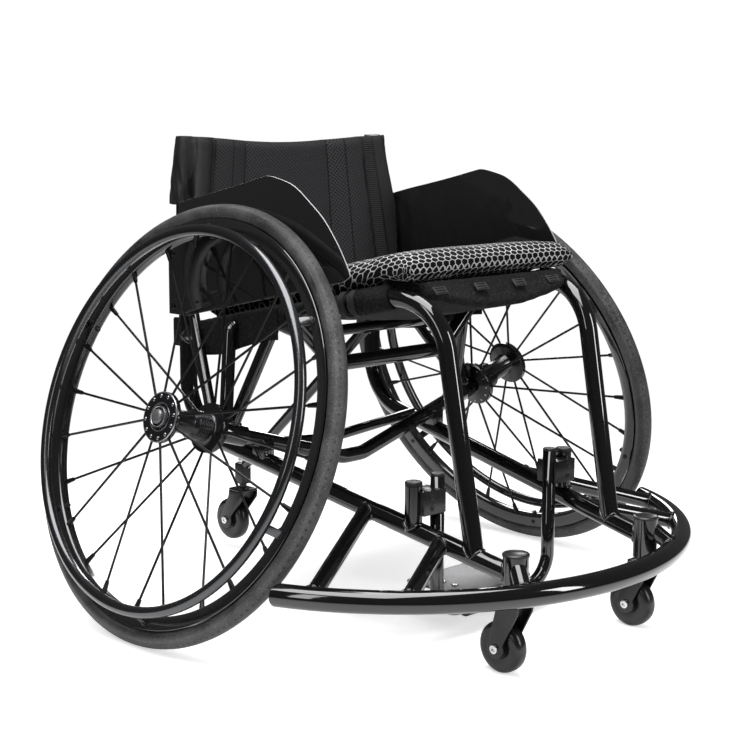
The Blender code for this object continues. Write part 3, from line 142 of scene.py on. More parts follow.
# Seat, back and side guards
SEAT_REAR_Y = 0.120
SEAT_FRONT_Y = -0.236
LIP_FRONT_Y = -0.300
LIP_HALF = 0.134
CUSHION_REAR_Y = 0.112
CUSHION_FRONT_Y = -0.280
CUSHION_REAR_HALF = 0.189
CUSHION_FRONT_HALF = 0.176
WRAP_PARTS = 10
SPAN_PARTS = 14
FACE_TOP = 0.4885
BACK_HALF = 0.2085
BACK_BASE = 0.440
BACK_TOP = 0.672
BACK_SEAMS = (0.0815, 0.148, 0.189)
BACK_BAND = (0.149, 0.161)
BACK_FLARE_Z = 0.660
GUARD_X = 0.2150
GUARD_THICK = 0.002

# Camera
EYE = Vector((-1.6448, -1.7040, 0.7044))
EYE_AHEAD = Vector((0.6955, 0.7004, -0.1602))
ROLL = math.radians(0.20)
LENS_MM = 77.17


# Sizes and colours that a user would change


class ChairWheels(bpy.types.PropertyGroup):
    """Sizes of the wheels."""

    tyre_radius: FloatProperty(
        name="Tyre radius", description="Outside radius of the main tyres", default=0.305, unit="LENGTH"
    )
    tyre_section: FloatProperty(
        name="Tyre section", description="Radius of the tyre's own section", default=0.0125, unit="LENGTH"
    )
    rim_inner: FloatProperty(
        name="Rim inner radius", description="Radius at the rim's inner wall", default=0.262, unit="LENGTH"
    )
    spokes: IntProperty(name="Spokes", description="Spokes in each main wheel", default=24, min=12, max=48)
    spoke_radius: FloatProperty(
        name="Spoke radius", description="Radius of one spoke", default=0.0018, unit="LENGTH"
    )
    handrim_radius: FloatProperty(
        name="Push ring radius",
        description="Radius of the push ring's centre line", default=0.260, unit="LENGTH",
    )
    handrim_tube: FloatProperty(
        name="Push ring tube", description="Radius of the push ring's tube", default=0.0078, unit="LENGTH"
    )
    castor_radius: FloatProperty(
        name="Castor radius", description="Radius of the front castor wheels", default=0.034, unit="LENGTH"
    )


class ChairCloth(bpy.types.PropertyGroup):
    """Sizes of the seat, its cushion and the back."""

    cushion_rise: FloatProperty(
        name="Cushion rise",
        description="Height of the cushion over the seat rails", default=0.043, unit="LENGTH",
    )
    cushion_swell: FloatProperty(
        name="Cushion swell",
        description="Most that stuffing moves the cushion's cover", default=0.0025, unit="LENGTH",
    )
    sag_front: FloatProperty(
        name="Front sag", description="How far the sling hangs at its front", default=0.042, unit="LENGTH"
    )
    sag_rear: FloatProperty(
        name="Rear sag", description="How far the sling hangs at its rear", default=0.022, unit="LENGTH"
    )
    net_cell: FloatProperty(
        name="Net cell", description="Width of one cell of the cushion's net", default=0.0122, unit="LENGTH"
    )
    back_dish: FloatProperty(
        name="Back dish",
        description="How far the back's middle lies behind its sides", default=0.030, unit="LENGTH",
    )


class ChairColours(bpy.types.PropertyGroup):
    """Colours of the finishes."""

    paint: FloatVectorProperty(
        name="Paint", description="Gloss paint of the tubes", default=(0.004, 0.004, 0.0045), subtype="COLOR"
    )
    rubber: FloatVectorProperty(
        name="Rubber", description="Rubber of the main tyres", default=(0.031, 0.031, 0.0315), subtype="COLOR"
    )
    cloth: FloatVectorProperty(
        name="Cloth", description="Cloth of the seat and back", default=(0.010, 0.010, 0.011), subtype="COLOR"
    )
    thread: FloatVectorProperty(
        name="Net thread",
        description="Threads of the cushion's net", default=(0.75, 0.75, 0.75), subtype="COLOR",
    )
    plate: FloatVectorProperty(
        name="Footplate", description="Foot plate", default=(0.11, 0.11, 0.115), subtype="COLOR"
    )
    floor: FloatVectorProperty(
        name="Floor", description="Studio floor", default=(0.80, 0.80, 0.80), subtype="COLOR"
    )


# Mesh helpers


def absorb(target, source, slot_index=None):
    """Move one bmesh's shape into another."""
    if slot_index is not None:
        for face in source.faces:
            face.material_index = slot_index
    mesh = bpy.data.meshes.new("part")
    source.to_mesh(mesh)
    source.free()
    target.from_mesh(mesh)
    bpy.data.meshes.remove(mesh)


def show(name, shape):
    """Put a bmesh in the scene as an object."""
    mesh = bpy.data.meshes.new(name)
    shape.to_mesh(mesh)
    shape.free()
    made = bpy.data.objects.new(name, mesh)
    bpy.context.scene.collection.objects.link(made)
    return made


def settle(name, shape, finishes, body, hides="", sharp=40, merge=0.000005):
    """Make a bmesh a piece on a body, moved from the axle line to its place in the frame."""
    bmesh.ops.remove_doubles(shape, verts=shape.verts, dist=merge)
    bmesh.ops.recalc_face_normals(shape, faces=shape.faces)
    shape.transform(Matrix.Translation((0, AXLE_Y, 0)))
    made = show(name, shape)
    for finish in finishes.split():
        made.data.materials.append(look(finish))
    made.data.shade_smooth()
    made.data.set_sharp_from_angle(angle=math.radians(sharp))
    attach(made, body)
    if hides:
        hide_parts(hides)
    return made


def thicken(made, thickness, offset=0, name="cloth"):
    """Give a sheet its thickness."""
    layer = made.modifiers.new(name, "SOLIDIFY")
    layer.thickness = thickness
    layer.offset = offset


def lathe(profile, place, steps=64, closed=False):
    """Spin a (distance along, radius) profile about the local X axis of a place."""
    shape = bmesh.new()
    points = [shape.verts.new((along, 0, radius)) for along, radius in profile]
    pairs = list(zip(points, points[1:]))
    if closed:
        pairs.append((points[-1], points[0]))
    edges = [shape.edges.new(pair) for pair in pairs]
    bmesh.ops.spin(
        shape, geom=points + edges, axis=(1, 0, 0), cent=(0, 0, 0), steps=steps,
        angle=2 * math.pi, use_merge=True,
    )
    bmesh.ops.remove_doubles(shape, verts=shape.verts, dist=0.000002)
    bmesh.ops.recalc_face_normals(shape, faces=shape.faces)
    shape.transform(place)
    return shape


def bar(path, radius, detail=10, cyclic=False, swell=None, caps=True):
    """A round bar along a path, from a bevelled curve."""
    curve = bpy.data.curves.new("bar", "CURVE")
    curve.dimensions = "3D"
    spline = curve.splines.new("POLY")
    spline.points.add(len(path) - 1)
    for index, place in enumerate(path):
        spline.points[index].co = (*place, 1)
        if swell is not None:
            spline.points[index].radius = swell[index]
    spline.use_cyclic_u = cyclic
    curve.bevel_depth = radius
    curve.bevel_resolution = detail
    curve.use_fill_caps = caps and not cyclic
    holder = bpy.data.objects.new("bar", curve)
    bpy.context.scene.collection.objects.link(holder)
    graph = bpy.context.evaluated_depsgraph_get()
    mesh = bpy.data.meshes.new_from_object(holder.evaluated_get(graph))
    shape = bmesh.new()
    shape.from_mesh(mesh)
    bmesh.ops.remove_doubles(shape, verts=shape.verts, dist=0.000005)
    bmesh.ops.recalc_face_normals(shape, faces=shape.faces)
    for face in shape.faces:
        face.material_index = 0
    bpy.data.objects.remove(holder, do_unlink=True)
    bpy.data.curves.remove(curve)
    bpy.data.meshes.remove(mesh)
    return shape


def rounded(points, radii, step=math.radians(7)):
    """Straight runs joined by arcs, one radius for each inner point."""
    path = [points[0]]
    for before, corner, after, radius in zip(points, points[1:], points[2:], radii):
        into = (corner - before).normalized()
        out = (after - corner).normalized()
        turn = into.angle(out)
        if radius == 0 or turn < 0.001:
            path.append(corner)
            continue
        start = corner - into * radius * math.tan(turn / 2)
        centre = start + (out - into * out.dot(into)).normalized() * radius
        count = max(3, math.ceil(turn / step))
        for part in range(count + 1):
            spin = Matrix.Rotation(turn * part / count, 3, into.cross(out).normalized())
            path.append(centre + spin @ (start - centre))
    path.append(points[-1])
    return path


def soften(shape, edges, offset, segments):
    """Round some edges off."""
    bmesh.ops.bevel(
        shape, geom=edges, offset=offset, offset_type="OFFSET", segments=segments, affect="EDGES",
        profile=0.5, material=-1,
    )


def solid_block(size, place, bevel=0.0006, segments=2):
    """A block of a full size with softened edges."""
    shape = bmesh.new()
    bmesh.ops.create_cube(shape, size=1.0)
    bmesh.ops.scale(shape, vec=size, verts=shape.verts)
    soften(shape, list(shape.edges), bevel, segments)
    shape.transform(place)
    return shape


def slab(outline, low, high, axis="Z", bevel=0.0006, segments=2):
    """A flat outline raised between two levels, with softened rims."""
    shape = bmesh.new()
    across = 0 if axis == "X" else 2
    corners = [(low, a, b) if axis == "X" else (a, b, low) for a, b in outline]
    face = shape.faces.new([shape.verts.new(corner) for corner in corners])
    grown = bmesh.ops.extrude_face_region(shape, geom=[face])
    tops = [item for item in grown["geom"] if isinstance(item, bmesh.types.BMVert)]
    lift = Vector((0, 0, 0))
    lift[across] = high - low
    bmesh.ops.translate(shape, verts=tops, vec=lift)
    bmesh.ops.recalc_face_normals(shape, faces=shape.faces)
    rims = [edge for edge in shape.edges if abs(edge.verts[0].co[across] - edge.verts[1].co[across]) < 1e-7]
    soften(shape, rims, bevel, segments)
    return shape


def cone(sides, first, second, depth, place=Matrix.Identity(4)):
    """A closed cone or rod along the local Z axis of a place."""
    shape = bmesh.new()
    bmesh.ops.create_cone(shape, cap_ends=True, segments=sides, radius1=first, radius2=second, depth=depth)
    shape.transform(place)
    return shape


def arc(centre, radius, first, last, parts):
    """Flat points on an arc between two angles in degrees, with both ends."""
    turns = [math.radians(first + (last - first) * part / parts) for part in range(parts + 1)]
    return [(centre[0] + radius * math.cos(turn), centre[1] + radius * math.sin(turn)) for turn in turns]


def refinish(shape, slot_index, wanted):
    """Give another finish to the faces whose centre a test picks."""
    for face in shape.faces:
        if wanted(face.calc_center_median()):
            face.material_index = slot_index


def upright(x, y, z):
    """A place whose X axis points up."""
    return Matrix.Translation((x, y, z)) @ Matrix.Rotation(-math.pi / 2, 4, "Y")


def aimed(point, direction):
    """A place at a point whose X axis points along a direction."""
    turn = Vector((1, 0, 0)).rotation_difference(Vector(direction).normalized())
    return Matrix.Translation(point) @ turn.to_matrix().to_4x4()


def wheel_place(side):
    """A main wheel's place: X outward along the axle, Y forward, Z up the wheel."""
    out = Vector((side * math.cos(CAMBER), 0, math.sin(CAMBER)))
    up = Vector((-side * math.sin(CAMBER), 0, math.cos(CAMBER)))
    forward = Vector((0, -1, 0))
    centre = Vector((side * WHEEL_CENTRE.x, 0, WHEEL_CENTRE.z))
    return Matrix.Translation(centre) @ Matrix((out, forward, up)).transposed().to_4x4()


def flipped(point, side):
    """A point written for the left side, moved to the wanted side."""
    return Vector((point[0] * side, point[1], point[2]))


def mirrored(half):
    """A line across the chair, from its left half."""
    return [flipped(point, -1) for point in half] + half[::-1]


def screw(shape, point, direction, radius, height, slot_index=0, socket=True):
    """A round screw head with a six-sided socket, added to a bmesh."""
    bore = radius * 0.5
    profile = [
        (-height * 0.2, 0), (-height * 0.2, radius), (height * 0.7, radius),
        (height, radius * 0.82), (height, bore if socket else radius * 0.3),
    ]
    profile += [(height * 0.35, bore), (height * 0.35, 0)] if socket else [(height * 1.05, 0)]
    absorb(shape, lathe(profile, aimed(point, direction), 20), slot_index)


# Node helpers


class Value:
    """A number or vector in a node tree. Arithmetic on it adds Math nodes."""

    def __init__(self, tree, socket):
        self.tree = tree
        self.socket = socket

    def __add__(self, other):
        return calc("ADD", self, other)

    def __sub__(self, other):
        return calc("SUBTRACT", self, other)

    def __rsub__(self, other):
        return calc("SUBTRACT", other, self)

    def __mul__(self, other):
        return calc("MULTIPLY", self, other)

    def __truediv__(self, other):
        return calc("DIVIDE", self, other)


def plug(value, socket):
    """Set an input to a constant, or wire a value to it."""
    if isinstance(value, Value):
        value.tree.links.new(value.socket, socket)
    else:
        socket.default_value = value


def add(tree, kind, wires=None, **settings):
    """Add one node, with its inputs set or wired."""
    made = tree.nodes.new("ShaderNode" + kind)
    for key, value in settings.items():
        setattr(made, key, value)
    for key, value in (wires or {}).items():
        plug(value, made.inputs[key])
    return made


def give(tree, kind, result, wires=None, **settings):
    """Add one node and give one of its results."""
    return Value(tree, add(tree, kind, wires, **settings).outputs[result])


def calc(operation, *values):
    """One Math node's result."""
    tree = next(value.tree for value in values if isinstance(value, Value))
    return give(tree, "Math", 0, dict(enumerate(values)), operation=operation)


def on_vector(operation, vector, wires, result=0):
    """One Vector Math node's result."""
    return give(vector.tree, "VectorMath", result, {0: vector, **wires}, operation=operation)


def wave(value, pitch):
    """A sine along a length, with one wave in each pitch."""
    return calc("SINE", value * (2 * math.pi / pitch))


def noise(where, scale, detail=2.0, result="Fac", **more):
    """Cloudy noise."""
    wires = {"Vector": where, "Scale": scale, "Detail": detail, **more}
    return give(where.tree, "TexNoise", result, wires)


def mapped(where, kind="POINT", **wires):
    """A vector moved, turned or scaled."""
    return give(where.tree, "Mapping", 0, {"Vector": where, **wires}, vector_type=kind)


def spread(value, low, high, to_low=0.0, to_high=1.0, **settings):
    """Stretch the range from low to high to another one, and keep to it."""
    wires = {"Value": value, "From Min": low, "From Max": high, "To Min": to_low, "To Max": to_high}
    return give(value.tree, "MapRange", "Result", wires, **settings)


def split(vector):
    """The three parts of a vector."""
    parts = add(vector.tree, "SeparateXYZ", {"Vector": vector}).outputs
    return [Value(vector.tree, part) for part in parts]


# Shared groups of nodes. Each takes a vector and its own numbers


def patch_nodes(where, scale, low, high):
    """Slow change over the surface between two values."""
    return {"Value": spread(noise(where, scale, 4.0), 0.3, 0.7, low, high)}


def grain_nodes(where, scale, depth):
    """Fine grain of a cast or coated surface, as a height."""
    fine = noise(where, scale, 3.0)
    coarse = noise(where, scale * 0.16)
    return {"Height": (fine + coarse * 0.7) * depth}


def scuff_nodes(where, scale, amount):
    """Thin scratches and rubbed places, as a mask."""
    drawn_out = mapped(where, Scale=(1.0, 0.12, 3.0))
    lines = calc("GREATER_THAN", noise(drawn_out, scale * 9.0), 0.66)
    zone = spread(noise(where, scale, 3.0), 0.52, 0.72)
    return {"Mask": lines * zone * amount}


def weave_nodes(where, pitch):
    """Plain woven cloth, as a height and a thread mask."""
    x, y, _ = split(where)
    turn = calc("DIVIDE", math.pi, pitch)
    checks = calc("SINE", x * turn) * calc("SINE", y * turn)
    height = calc("ABSOLUTE", checks) + noise(where, 1800.0, 3.0) * 0.6
    return {"Height": height, "Thread": calc("MULTIPLY_ADD", checks, 0.5, 0.5)}


def net_nodes(where, cell, thread):
    """Net of six-sided cells, as a thread mask and a height."""
    ratio = math.sqrt(3)
    x, y, _ = split(where)
    across = x / cell
    along = y / cell / ratio
    found = []
    for shift in (0.0, 0.5):
        u = calc("ABSOLUTE", calc("FRACT", across + shift) - 0.5)
        v = calc("ABSOLUTE", (calc("FRACT", along + shift) - 0.5) * ratio)
        found.append(calc("MAXIMUM", u, u * 0.5 + v * (ratio / 2)))
    strand = spread(0.5 - calc("MINIMUM", *found), thread * 0.45, thread, 1.0, 0.0)
    twist = noise(where, 900.0)
    return {"Mask": strand * calc("MULTIPLY_ADD", twist, 0.9, 0.45), "Height": strand}


def knit_nodes(where, pitch, size):
    """Mesh knit with small holes in slanting rows, as a hole mask and a height."""
    turned = mapped(where, Rotation=(0, 0, math.radians(38)))
    u, v = (calc("FRACT", part / pitch) - 0.5 for part in split(turned)[:2])
    far = calc("SQRT", u * u + v * v)
    hole = spread(far, size * 0.6, size, 1.0, 0.0)
    return {"Mask": hole, "Height": 1.0 - hole}


def polar_nodes(where):
    """Angle, distance along and radius about the local X axis."""
    x, y, z = split(where)
    return {"Angle": calc("ARCTAN2", y, z), "Along": x, "Radius": calc("SQRT", y * y + z * z)}


GROUPS = {
    "Surface patches": (patch_nodes, {"Scale": 20.0, "Low": 0.2, "High": 0.3}),
    "Fine grain": (grain_nodes, {"Scale": 1500.0, "Depth": 1.0}),
    "Scuffs": (scuff_nodes, {"Scale": 60.0, "Amount": 0.3}),
    "Plain weave": (weave_nodes, {"Pitch": 0.0014}),
    "Six-sided net": (net_nodes, {"Cell": 0.0085, "Thread": 0.12}),
    "Mesh knit": (knit_nodes, {"Pitch": 0.003, "Size": 0.3}),
    "Round the axle": (polar_nodes, {}),
}


def make_group(name):
    """Make one of the groups, with its sockets."""
    build, numbers = GROUPS[name]
    group = bpy.data.node_groups.new(name, "ShaderNodeTree")
    group.interface.new_socket("Vector", in_out="INPUT", socket_type="NodeSocketVector")
    for label, default in numbers.items():
        socket = group.interface.new_socket(label, in_out="INPUT", socket_type="NodeSocketFloat")
        socket.default_value = default
    entry = group.nodes.new("NodeGroupInput").outputs
    results = build(*(Value(group, entry[label]) for label in ("Vector", *numbers)))
    for label in results:
        group.interface.new_socket(label, in_out="OUTPUT", socket_type="NodeSocketFloat")
    leave = group.nodes.new("NodeGroupOutput")
    for label, value in results.items():
        plug(value, leave.inputs[label])
    return group


def use(name, where, **numbers):
    """Place a shared group, made when first asked for, and give its results by name."""
    group = bpy.data.node_groups.get(name) or make_group(name)
    made = add(where.tree, "Group", {"Vector": where, **numbers}, node_tree=group)
    return {socket.name: Value(where.tree, socket) for socket in made.outputs}


def patches(where, scale, low=0.0, high=1.0):
    return use("Surface patches", where, Scale=scale, Low=low, High=high)["Value"]


def grain(where, scale, depth=1.0):
    return use("Fine grain", where, Scale=scale, Depth=depth)["Height"]


# Finishes


def begin_look(name, colour, metallic=0.0, rough=0.4, coat=0.0, specular=0.5, sheen=0.0):
    """A Principled material, with the numbers that don't change over it set on its shader."""
    made = bpy.data.materials.new(name)
    made.use_nodes = True
    tree = made.node_tree
    shader = tree.nodes["Principled BSDF"]
    constants = {
        "Base Color": (*colour, 1), "Metallic": metallic, "Roughness": rough, "Coat Weight": coat,
        "Coat Roughness": 0.03, "Specular IOR Level": specular, "Sheen Weight": sheen, "Sheen Roughness": 0.4,
    }
    for key, value in constants.items():
        shader.inputs[key].default_value = value
    return made, shader, give(tree, "TexCoord", "Object")


def bump(shader, height, strength, distance=0.0002):
    """Feed a height to the shader's normal."""
    wires = {"Height": height, "Strength": strength, "Distance": distance}
    plug(give(height.tree, "Bump", 0, wires), shader.inputs["Normal"])


def tint(shader, factor, dark, light):
    """Mix two colours over the surface into the base colour."""
    wires = {0: factor, 6: (*dark, 1), 7: (*light, 1)}
    plug(give(factor.tree, "Mix", 2, wires, data_type="RGBA"), shader.inputs["Base Color"])


def scaled(colour, factor):
    return tuple(part * factor for part in colour)


def colours():
    return bpy.context.scene.chair_colours


def coated_look(name, colour, rough, grain_scale, depth, metallic=0.0, coat=0.0, specular=0.5, scuffs=0.25):
    """Paint, anodising or plastic: grain, slow roughness change and a few scuffs."""
    low, high = rough
    made, shader, where = begin_look(name, colour, metallic, low, coat, specular)
    base = patches(where, 14.0, low, high)
    marks = use("Scuffs", where, Scale=26.0, Amount=scuffs)["Mask"]
    plug(base + marks, shader.inputs["Roughness"])
    tint(shader, marks, colour, scaled(colour, 2.2))
    bump(shader, grain(where, grain_scale), depth)
    return made


# Name, colour, least and most roughness, the grain's scale and depth, then the shader's other numbers
COATED = {
    "rim": ("rim_gloss", (0.010, 0.010, 0.0105), (0.12, 0.20), 700.0, 0.03, 0.0, 0.9, 0.5, 0.12),
    "anodised": ("black_anodising", (0.060, 0.060, 0.063), (0.14, 0.22), 2600.0, 0.08, 0.9, 0.0, 0.5, 0.15),
    "ring": ("push_ring_satin", (0.055, 0.056, 0.06), (0.20, 0.28), 1800.0, 0.08, 0.9, 0.8, 0.5, 0.2),
    "matte": ("matte_black_moulding", (0.013, 0.013, 0.0135), (0.34, 0.46), 2200.0, 0.35, 0.0, 0.0, 0.4),
    "fork": ("fork_satin", (0.005, 0.005, 0.0055), (0.20, 0.30), 1400.0, 0.16, 0.0, 0.0, 0.5, 0.3),
    "clamp": ("clamp_satin", (0.010, 0.010, 0.0105), (0.24, 0.36), 1900.0, 0.2),
    "steel": ("bright_steel", (0.72, 0.72, 0.74), (0.14, 0.24), 2400.0, 0.08, 1.0),
    "alloy": ("turned_alloy", (0.48, 0.48, 0.50), (0.22, 0.34), 1700.0, 0.14, 0.9),
    "castor": ("castor_rubber", (0.0055, 0.0055, 0.006), (0.22, 0.32), 900.0, 0.15),
    "guard": ("guard_gloss", (0.008, 0.008, 0.0085), (0.05, 0.10), 260.0, 0.03, 0.0, 0.8, 0.5, 0.14),
    "edge": ("guard_edge", (0.42, 0.42, 0.43), (0.3, 0.45), 1200.0, 0.2),
    "button": ("button_grey", (0.16, 0.16, 0.165), (0.28, 0.38), 1500.0, 0.12, 0.5),
    "rivet": ("spoke_head", (0.26, 0.26, 0.27), (0.20, 0.30), 1800.0, 0.08, 0.9),
    "spoke": ("spoke_black", (0.004, 0.004, 0.0042), (0.30, 0.42), 1200.0, 0.05, 0.0, 0.0, 0.3, 0.1),
    "cap": ("satin_cap", (0.012, 0.012, 0.0125), (0.26, 0.38), 1500.0, 0.2),
}


def paint_look():
    return coated_look("gloss_black_paint", colours().paint, (0.06, 0.11), 420.0, 0.02, coat=0.7, scuffs=0.10)


def plate_look():
    """Brushed dark grey foot plate, with slow patches of lighter and darker tone."""
    colour = colours().plate
    made, shader, where = begin_look("brushed_plate", colour, 0.75, 0.4)
    stretched = mapped(where, Scale=(0.06, 1.0, 1.0))
    lines = noise(stretched, 2600.0, 3.0)
    plug(spread(lines, 0.3, 0.7, 0.34, 0.5), shader.inputs["Roughness"])
    tint(shader, patches(where, 18.0), scaled(colour, 0.8), scaled(colour, 1.15))
    bump(shader, lines, 0.15)
    return made


def tyre_look(side, end):
    """Rubber with a fine file tread on the running band, dashes on its shoulders darkened with painted shade,
    and dust in the grain.
    """
    colour = colours().rubber
    made, shader, where = begin_look("tyre_rubber_" + end, colour, 0.0, 0.4, specular=0.65)
    place = Matrix.Translation((0, AXLE_Y, 0)) @ wheel_place(side)
    local = mapped(where, "TEXTURE", Location=place.translation, Rotation=place.to_euler())
    axle = use("Round the axle", local)
    around = axle["Angle"] * TYRE_OUTSIDE
    file_cut = calc("MAXIMUM", wave(around + axle["Along"], 0.0016), wave(around - axle["Along"], 0.0016))
    band = spread(axle["Radius"], 0.2975, 0.2985)
    wall = (1.0 - band) * (wave(axle["Radius"], 0.0022) * 0.25)
    shoulder = calc("ABSOLUTE", calc("ABSOLUTE", axle["Along"]) - 0.0064)
    # Dashes are cuts in the bump, and they also darken the colour: painted shade in the cuts.
    dashes = calc("LESS_THAN", shoulder, 0.0014) * calc("GREATER_THAN", wave(around, 0.0115), 0.45)
    height = file_cut * band + wall + grain(where, 1300.0, 0.8) - dashes * 3.0
    bump(shader, height, 0.8, 0.0003)
    dust = patches(where, 24.0)
    specks = spread(noise(where, 420.0, 4.0), 0.57, 0.64)
    # Dust and specks vary the tone at random; the dashes add painted shade.
    shade = (dust * 0.45 + specks * 0.55) * (1.0 - dashes)
    tint(shader, shade, scaled(colour, 0.35), scaled(colour, 4.2))
    plug(spread(dust, 0.0, 1.0, 0.36, 0.48), shader.inputs["Roughness"])
    return made


def cloth_place(where):
    """A point's place on the flat cloth."""
    return give(where.tree, "Attribute", "Vector", attribute_name="cloth_map")


def woven_look(name, colour, pitch, strength, rough, sheen, light):
    """Woven cloth on the piece's own cloth map."""
    made, shader, where = begin_look(name, colour, 0.0, rough, sheen=sheen, specular=0.3)
    woven = use("Plain weave", cloth_place(where), Pitch=pitch)
    mask = woven["Thread"] * 0.5 + patches(where, 30.0, 0.0, 0.5)
    tint(shader, mask, scaled(colour, 0.7), scaled(colour, light))
    bump(shader, woven["Height"], strength, 0.0003)
    return made


def fuzzy_look():
    """Looped cloth: dark, with pale flecks and a rough pile."""
    colour = colours().cloth
    made, shader, where = begin_look("fuzzy_cloth", colour, 0.0, 0.9, specular=0.25)
    pile = noise(where, 520.0, 5.0, Roughness=0.7)
    tint(shader, spread(pile, 0.50, 0.72), scaled(colour, 0.3), scaled(colour, 4.0))
    creases = noise(where, 55.0, 3.0, Distortion=1.2)
    bump(shader, pile + creases * 3.0, 0.8, 0.0016)
    return made


def net_look():
    """Spacer net of the cushion: pale threads in six-sided cells over dark foam cloth."""
    made, shader, where = begin_look("cushion_net", colours().cloth, 0.0, 0.7, specular=0.12)
    wander = noise(where, 40.0, result="Color")
    wander = on_vector("SUBTRACT", wander, {1: (0.5, 0.5, 0.5)})
    wander = on_vector("SCALE", wander, {"Scale": 0.004})
    flat = on_vector("ADD", cloth_place(where), {1: wander})
    net = use("Six-sided net", flat, Cell=bpy.context.scene.chair_cloth.net_cell, Thread=0.075)
    tint(shader, net["Mask"] * patches(where, 22.0, 0.55), (0.0025, 0.0025, 0.0028), colours().thread)
    bump(shader, net["Height"] + grain(where, 1600.0, 0.25), 0.6, 0.0006)
    return made


def back_look():
    """Back cloth: mesh knit in the middle, ribbed bands beside satin strips at the sides, and painted shade
    along the seams.
    """
    colour = colours().cloth
    made, shader, where = begin_look("back_cloth", colour, 0.0, 0.6, specular=0.35)
    flat = cloth_place(where)
    x, y, _ = split(flat)
    away = calc("ABSOLUTE", x)
    knit = use("Mesh knit", flat, Pitch=0.0042, Size=0.40)
    woven = use("Plain weave", flat, Pitch=0.0010)
    middle = calc("LESS_THAN", away, 0.146)
    band = calc("GREATER_THAN", away, BACK_BAND[0]) * calc("LESS_THAN", away, BACK_BAND[1])
    ribbed = calc("MULTIPLY_ADD", wave(y, 0.0030), 0.5, 0.5) * band
    # Seam lines: a groove in the bump, and painted shade in the seam creases.
    seams = None
    for place in (BACK_SEAMS[0], 0.112, BACK_SEAMS[1], 0.162, BACK_SEAMS[2]):
        line = calc("LESS_THAN", calc("ABSOLUTE", away - place), 0.0012)
        seams = calc("MAXIMUM", seams, line) if seams else line
    covered = calc("MAXIMUM", middle, band)
    value = ribbed * 0.6 + (1.0 - covered) * 0.35 + (middle - knit["Mask"] * middle) * 0.8
    # Darkening the colour along the seams is painted shade in their creases.
    tint(shader, value * (1.0 - seams), scaled(colour, 0.2), scaled(colour, 3.6))
    height = knit["Height"] * middle + ribbed * 1.2 + woven["Height"] * 0.35 - seams * 2.5
    bump(shader, height, 0.7, 0.0006)
    plug(calc("MULTIPLY_ADD", covered, 0.28, 0.48), shader.inputs["Roughness"])
    return made


MAKERS = {
    "paint": paint_look,
    "plate": plate_look,
    "tyre_right": lambda: tyre_look(-1, "right"),
    "tyre_left": lambda: tyre_look(1, "left"),
    "fuzzy": fuzzy_look,
    "net": net_look,
    "back": back_look,
    "sling": lambda: woven_look("sling_cloth", colours().cloth, 0.0012, 0.5, 0.8, 0.03, 1.4),
    "webbing": lambda: woven_look("webbing", (0.018, 0.018, 0.019), 0.0018, 0.7, 0.7, 0.1, 2.0),
    "flap": lambda: woven_look("flap_satin", scaled(colours().cloth, 0.8), 0.0010, 0.35, 0.40, 0.05, 2.0),
}
LOOKS = {}


def look(name):
    """One of the finishes, made when first asked for."""
    if name not in LOOKS:
        LOOKS[name] = coated_look(*COATED[name]) if name in COATED else MAKERS[name]()
    return LOOKS[name]


# Frame lines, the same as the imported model's


def side_tube_path(side):
    """Centre line of a side tube, from the upright's top to its castor housing."""
    points = [UPRIGHT, Vector((UPRIGHT.x, UPRIGHT.y, SIDE_BEND_Z)), HOUSING]
    return rounded([flipped(point, side) for point in points], [0.088])


def side_tube_at(y):
    """Centre of the left side tube at a distance y, on its run to the front."""
    share = (UPRIGHT.y - y) / (UPRIGHT.y - HOUSING.y)
    return Vector((
        UPRIGHT.x + (HOUSING.x - UPRIGHT.x) * share, y, SIDE_BEND_Z + (HOUSING.z - SIDE_BEND_Z) * share,
    ))


def side_tube_line(side):
    """Direction of a side tube's run to the front."""
    return (flipped(HOUSING, side) - flipped((UPRIGHT.x, UPRIGHT.y, SIDE_BEND_Z), side)).normalized()


def rail_points(side):
    points = [Vector((UPRIGHT.x, UPRIGHT.y, RAIL_REAR_Z)), RAIL_MID, RAIL_FRONT, RAIL_BEND, LEG_FOOT]
    return [flipped(point, side) for point in points]


def rail_path(side):
    return rounded(rail_points(side), [0.30, 0.30, 0.080], math.radians(4))


def rail_at(y):
    """Centre of the left rail at a distance y, on its run before the bend."""
    points = rail_points(1)[:4]
    for first, second in zip(points, points[1:]):
        if second.y <= y <= first.y or second is points[-1]:
            return first.lerp(second, (first.y - y) / (first.y - second.y))
    return points[0]


def rail_line(y, side):
    """Direction of a rail at a distance y."""
    return (flipped(rail_at(y - 0.01), side) - flipped(rail_at(y + 0.01), side)).normalized()


def axle_point(side, x):
    """The point of a wheel's axle at a distance x from the chair's middle."""
    return Vector((side * x, 0, WHEEL_CENTRE.z - (WHEEL_CENTRE.x - x) * math.tan(CAMBER)))


def bumper_at(x):
    """Centre of the bumper's arc at a distance x from the middle."""
    return Vector((x, BUMPER_FRONT_Y + BUMPER_ARC_R - math.sqrt(BUMPER_ARC_R ** 2 - x ** 2), BUMPER_Z))


def bumper_run(x):
    """The way that the bumper's arc runs at a distance x from the middle."""
    return Vector((1, x / math.sqrt(BUMPER_ARC_R ** 2 - x ** 2), 0))


def bumper_path():
    """Level arc round the chair's front, run past both cut ends."""
    turns = [math.radians(69 * (part / 40 - 1)) for part in range(81)]
    return [bumper_at(BUMPER_ARC_R * math.sin(turn)) for turn in turns]


# Operators


class Build:
    """What every operator here shares."""

    bl_options = {"REGISTER", "UNDO"}


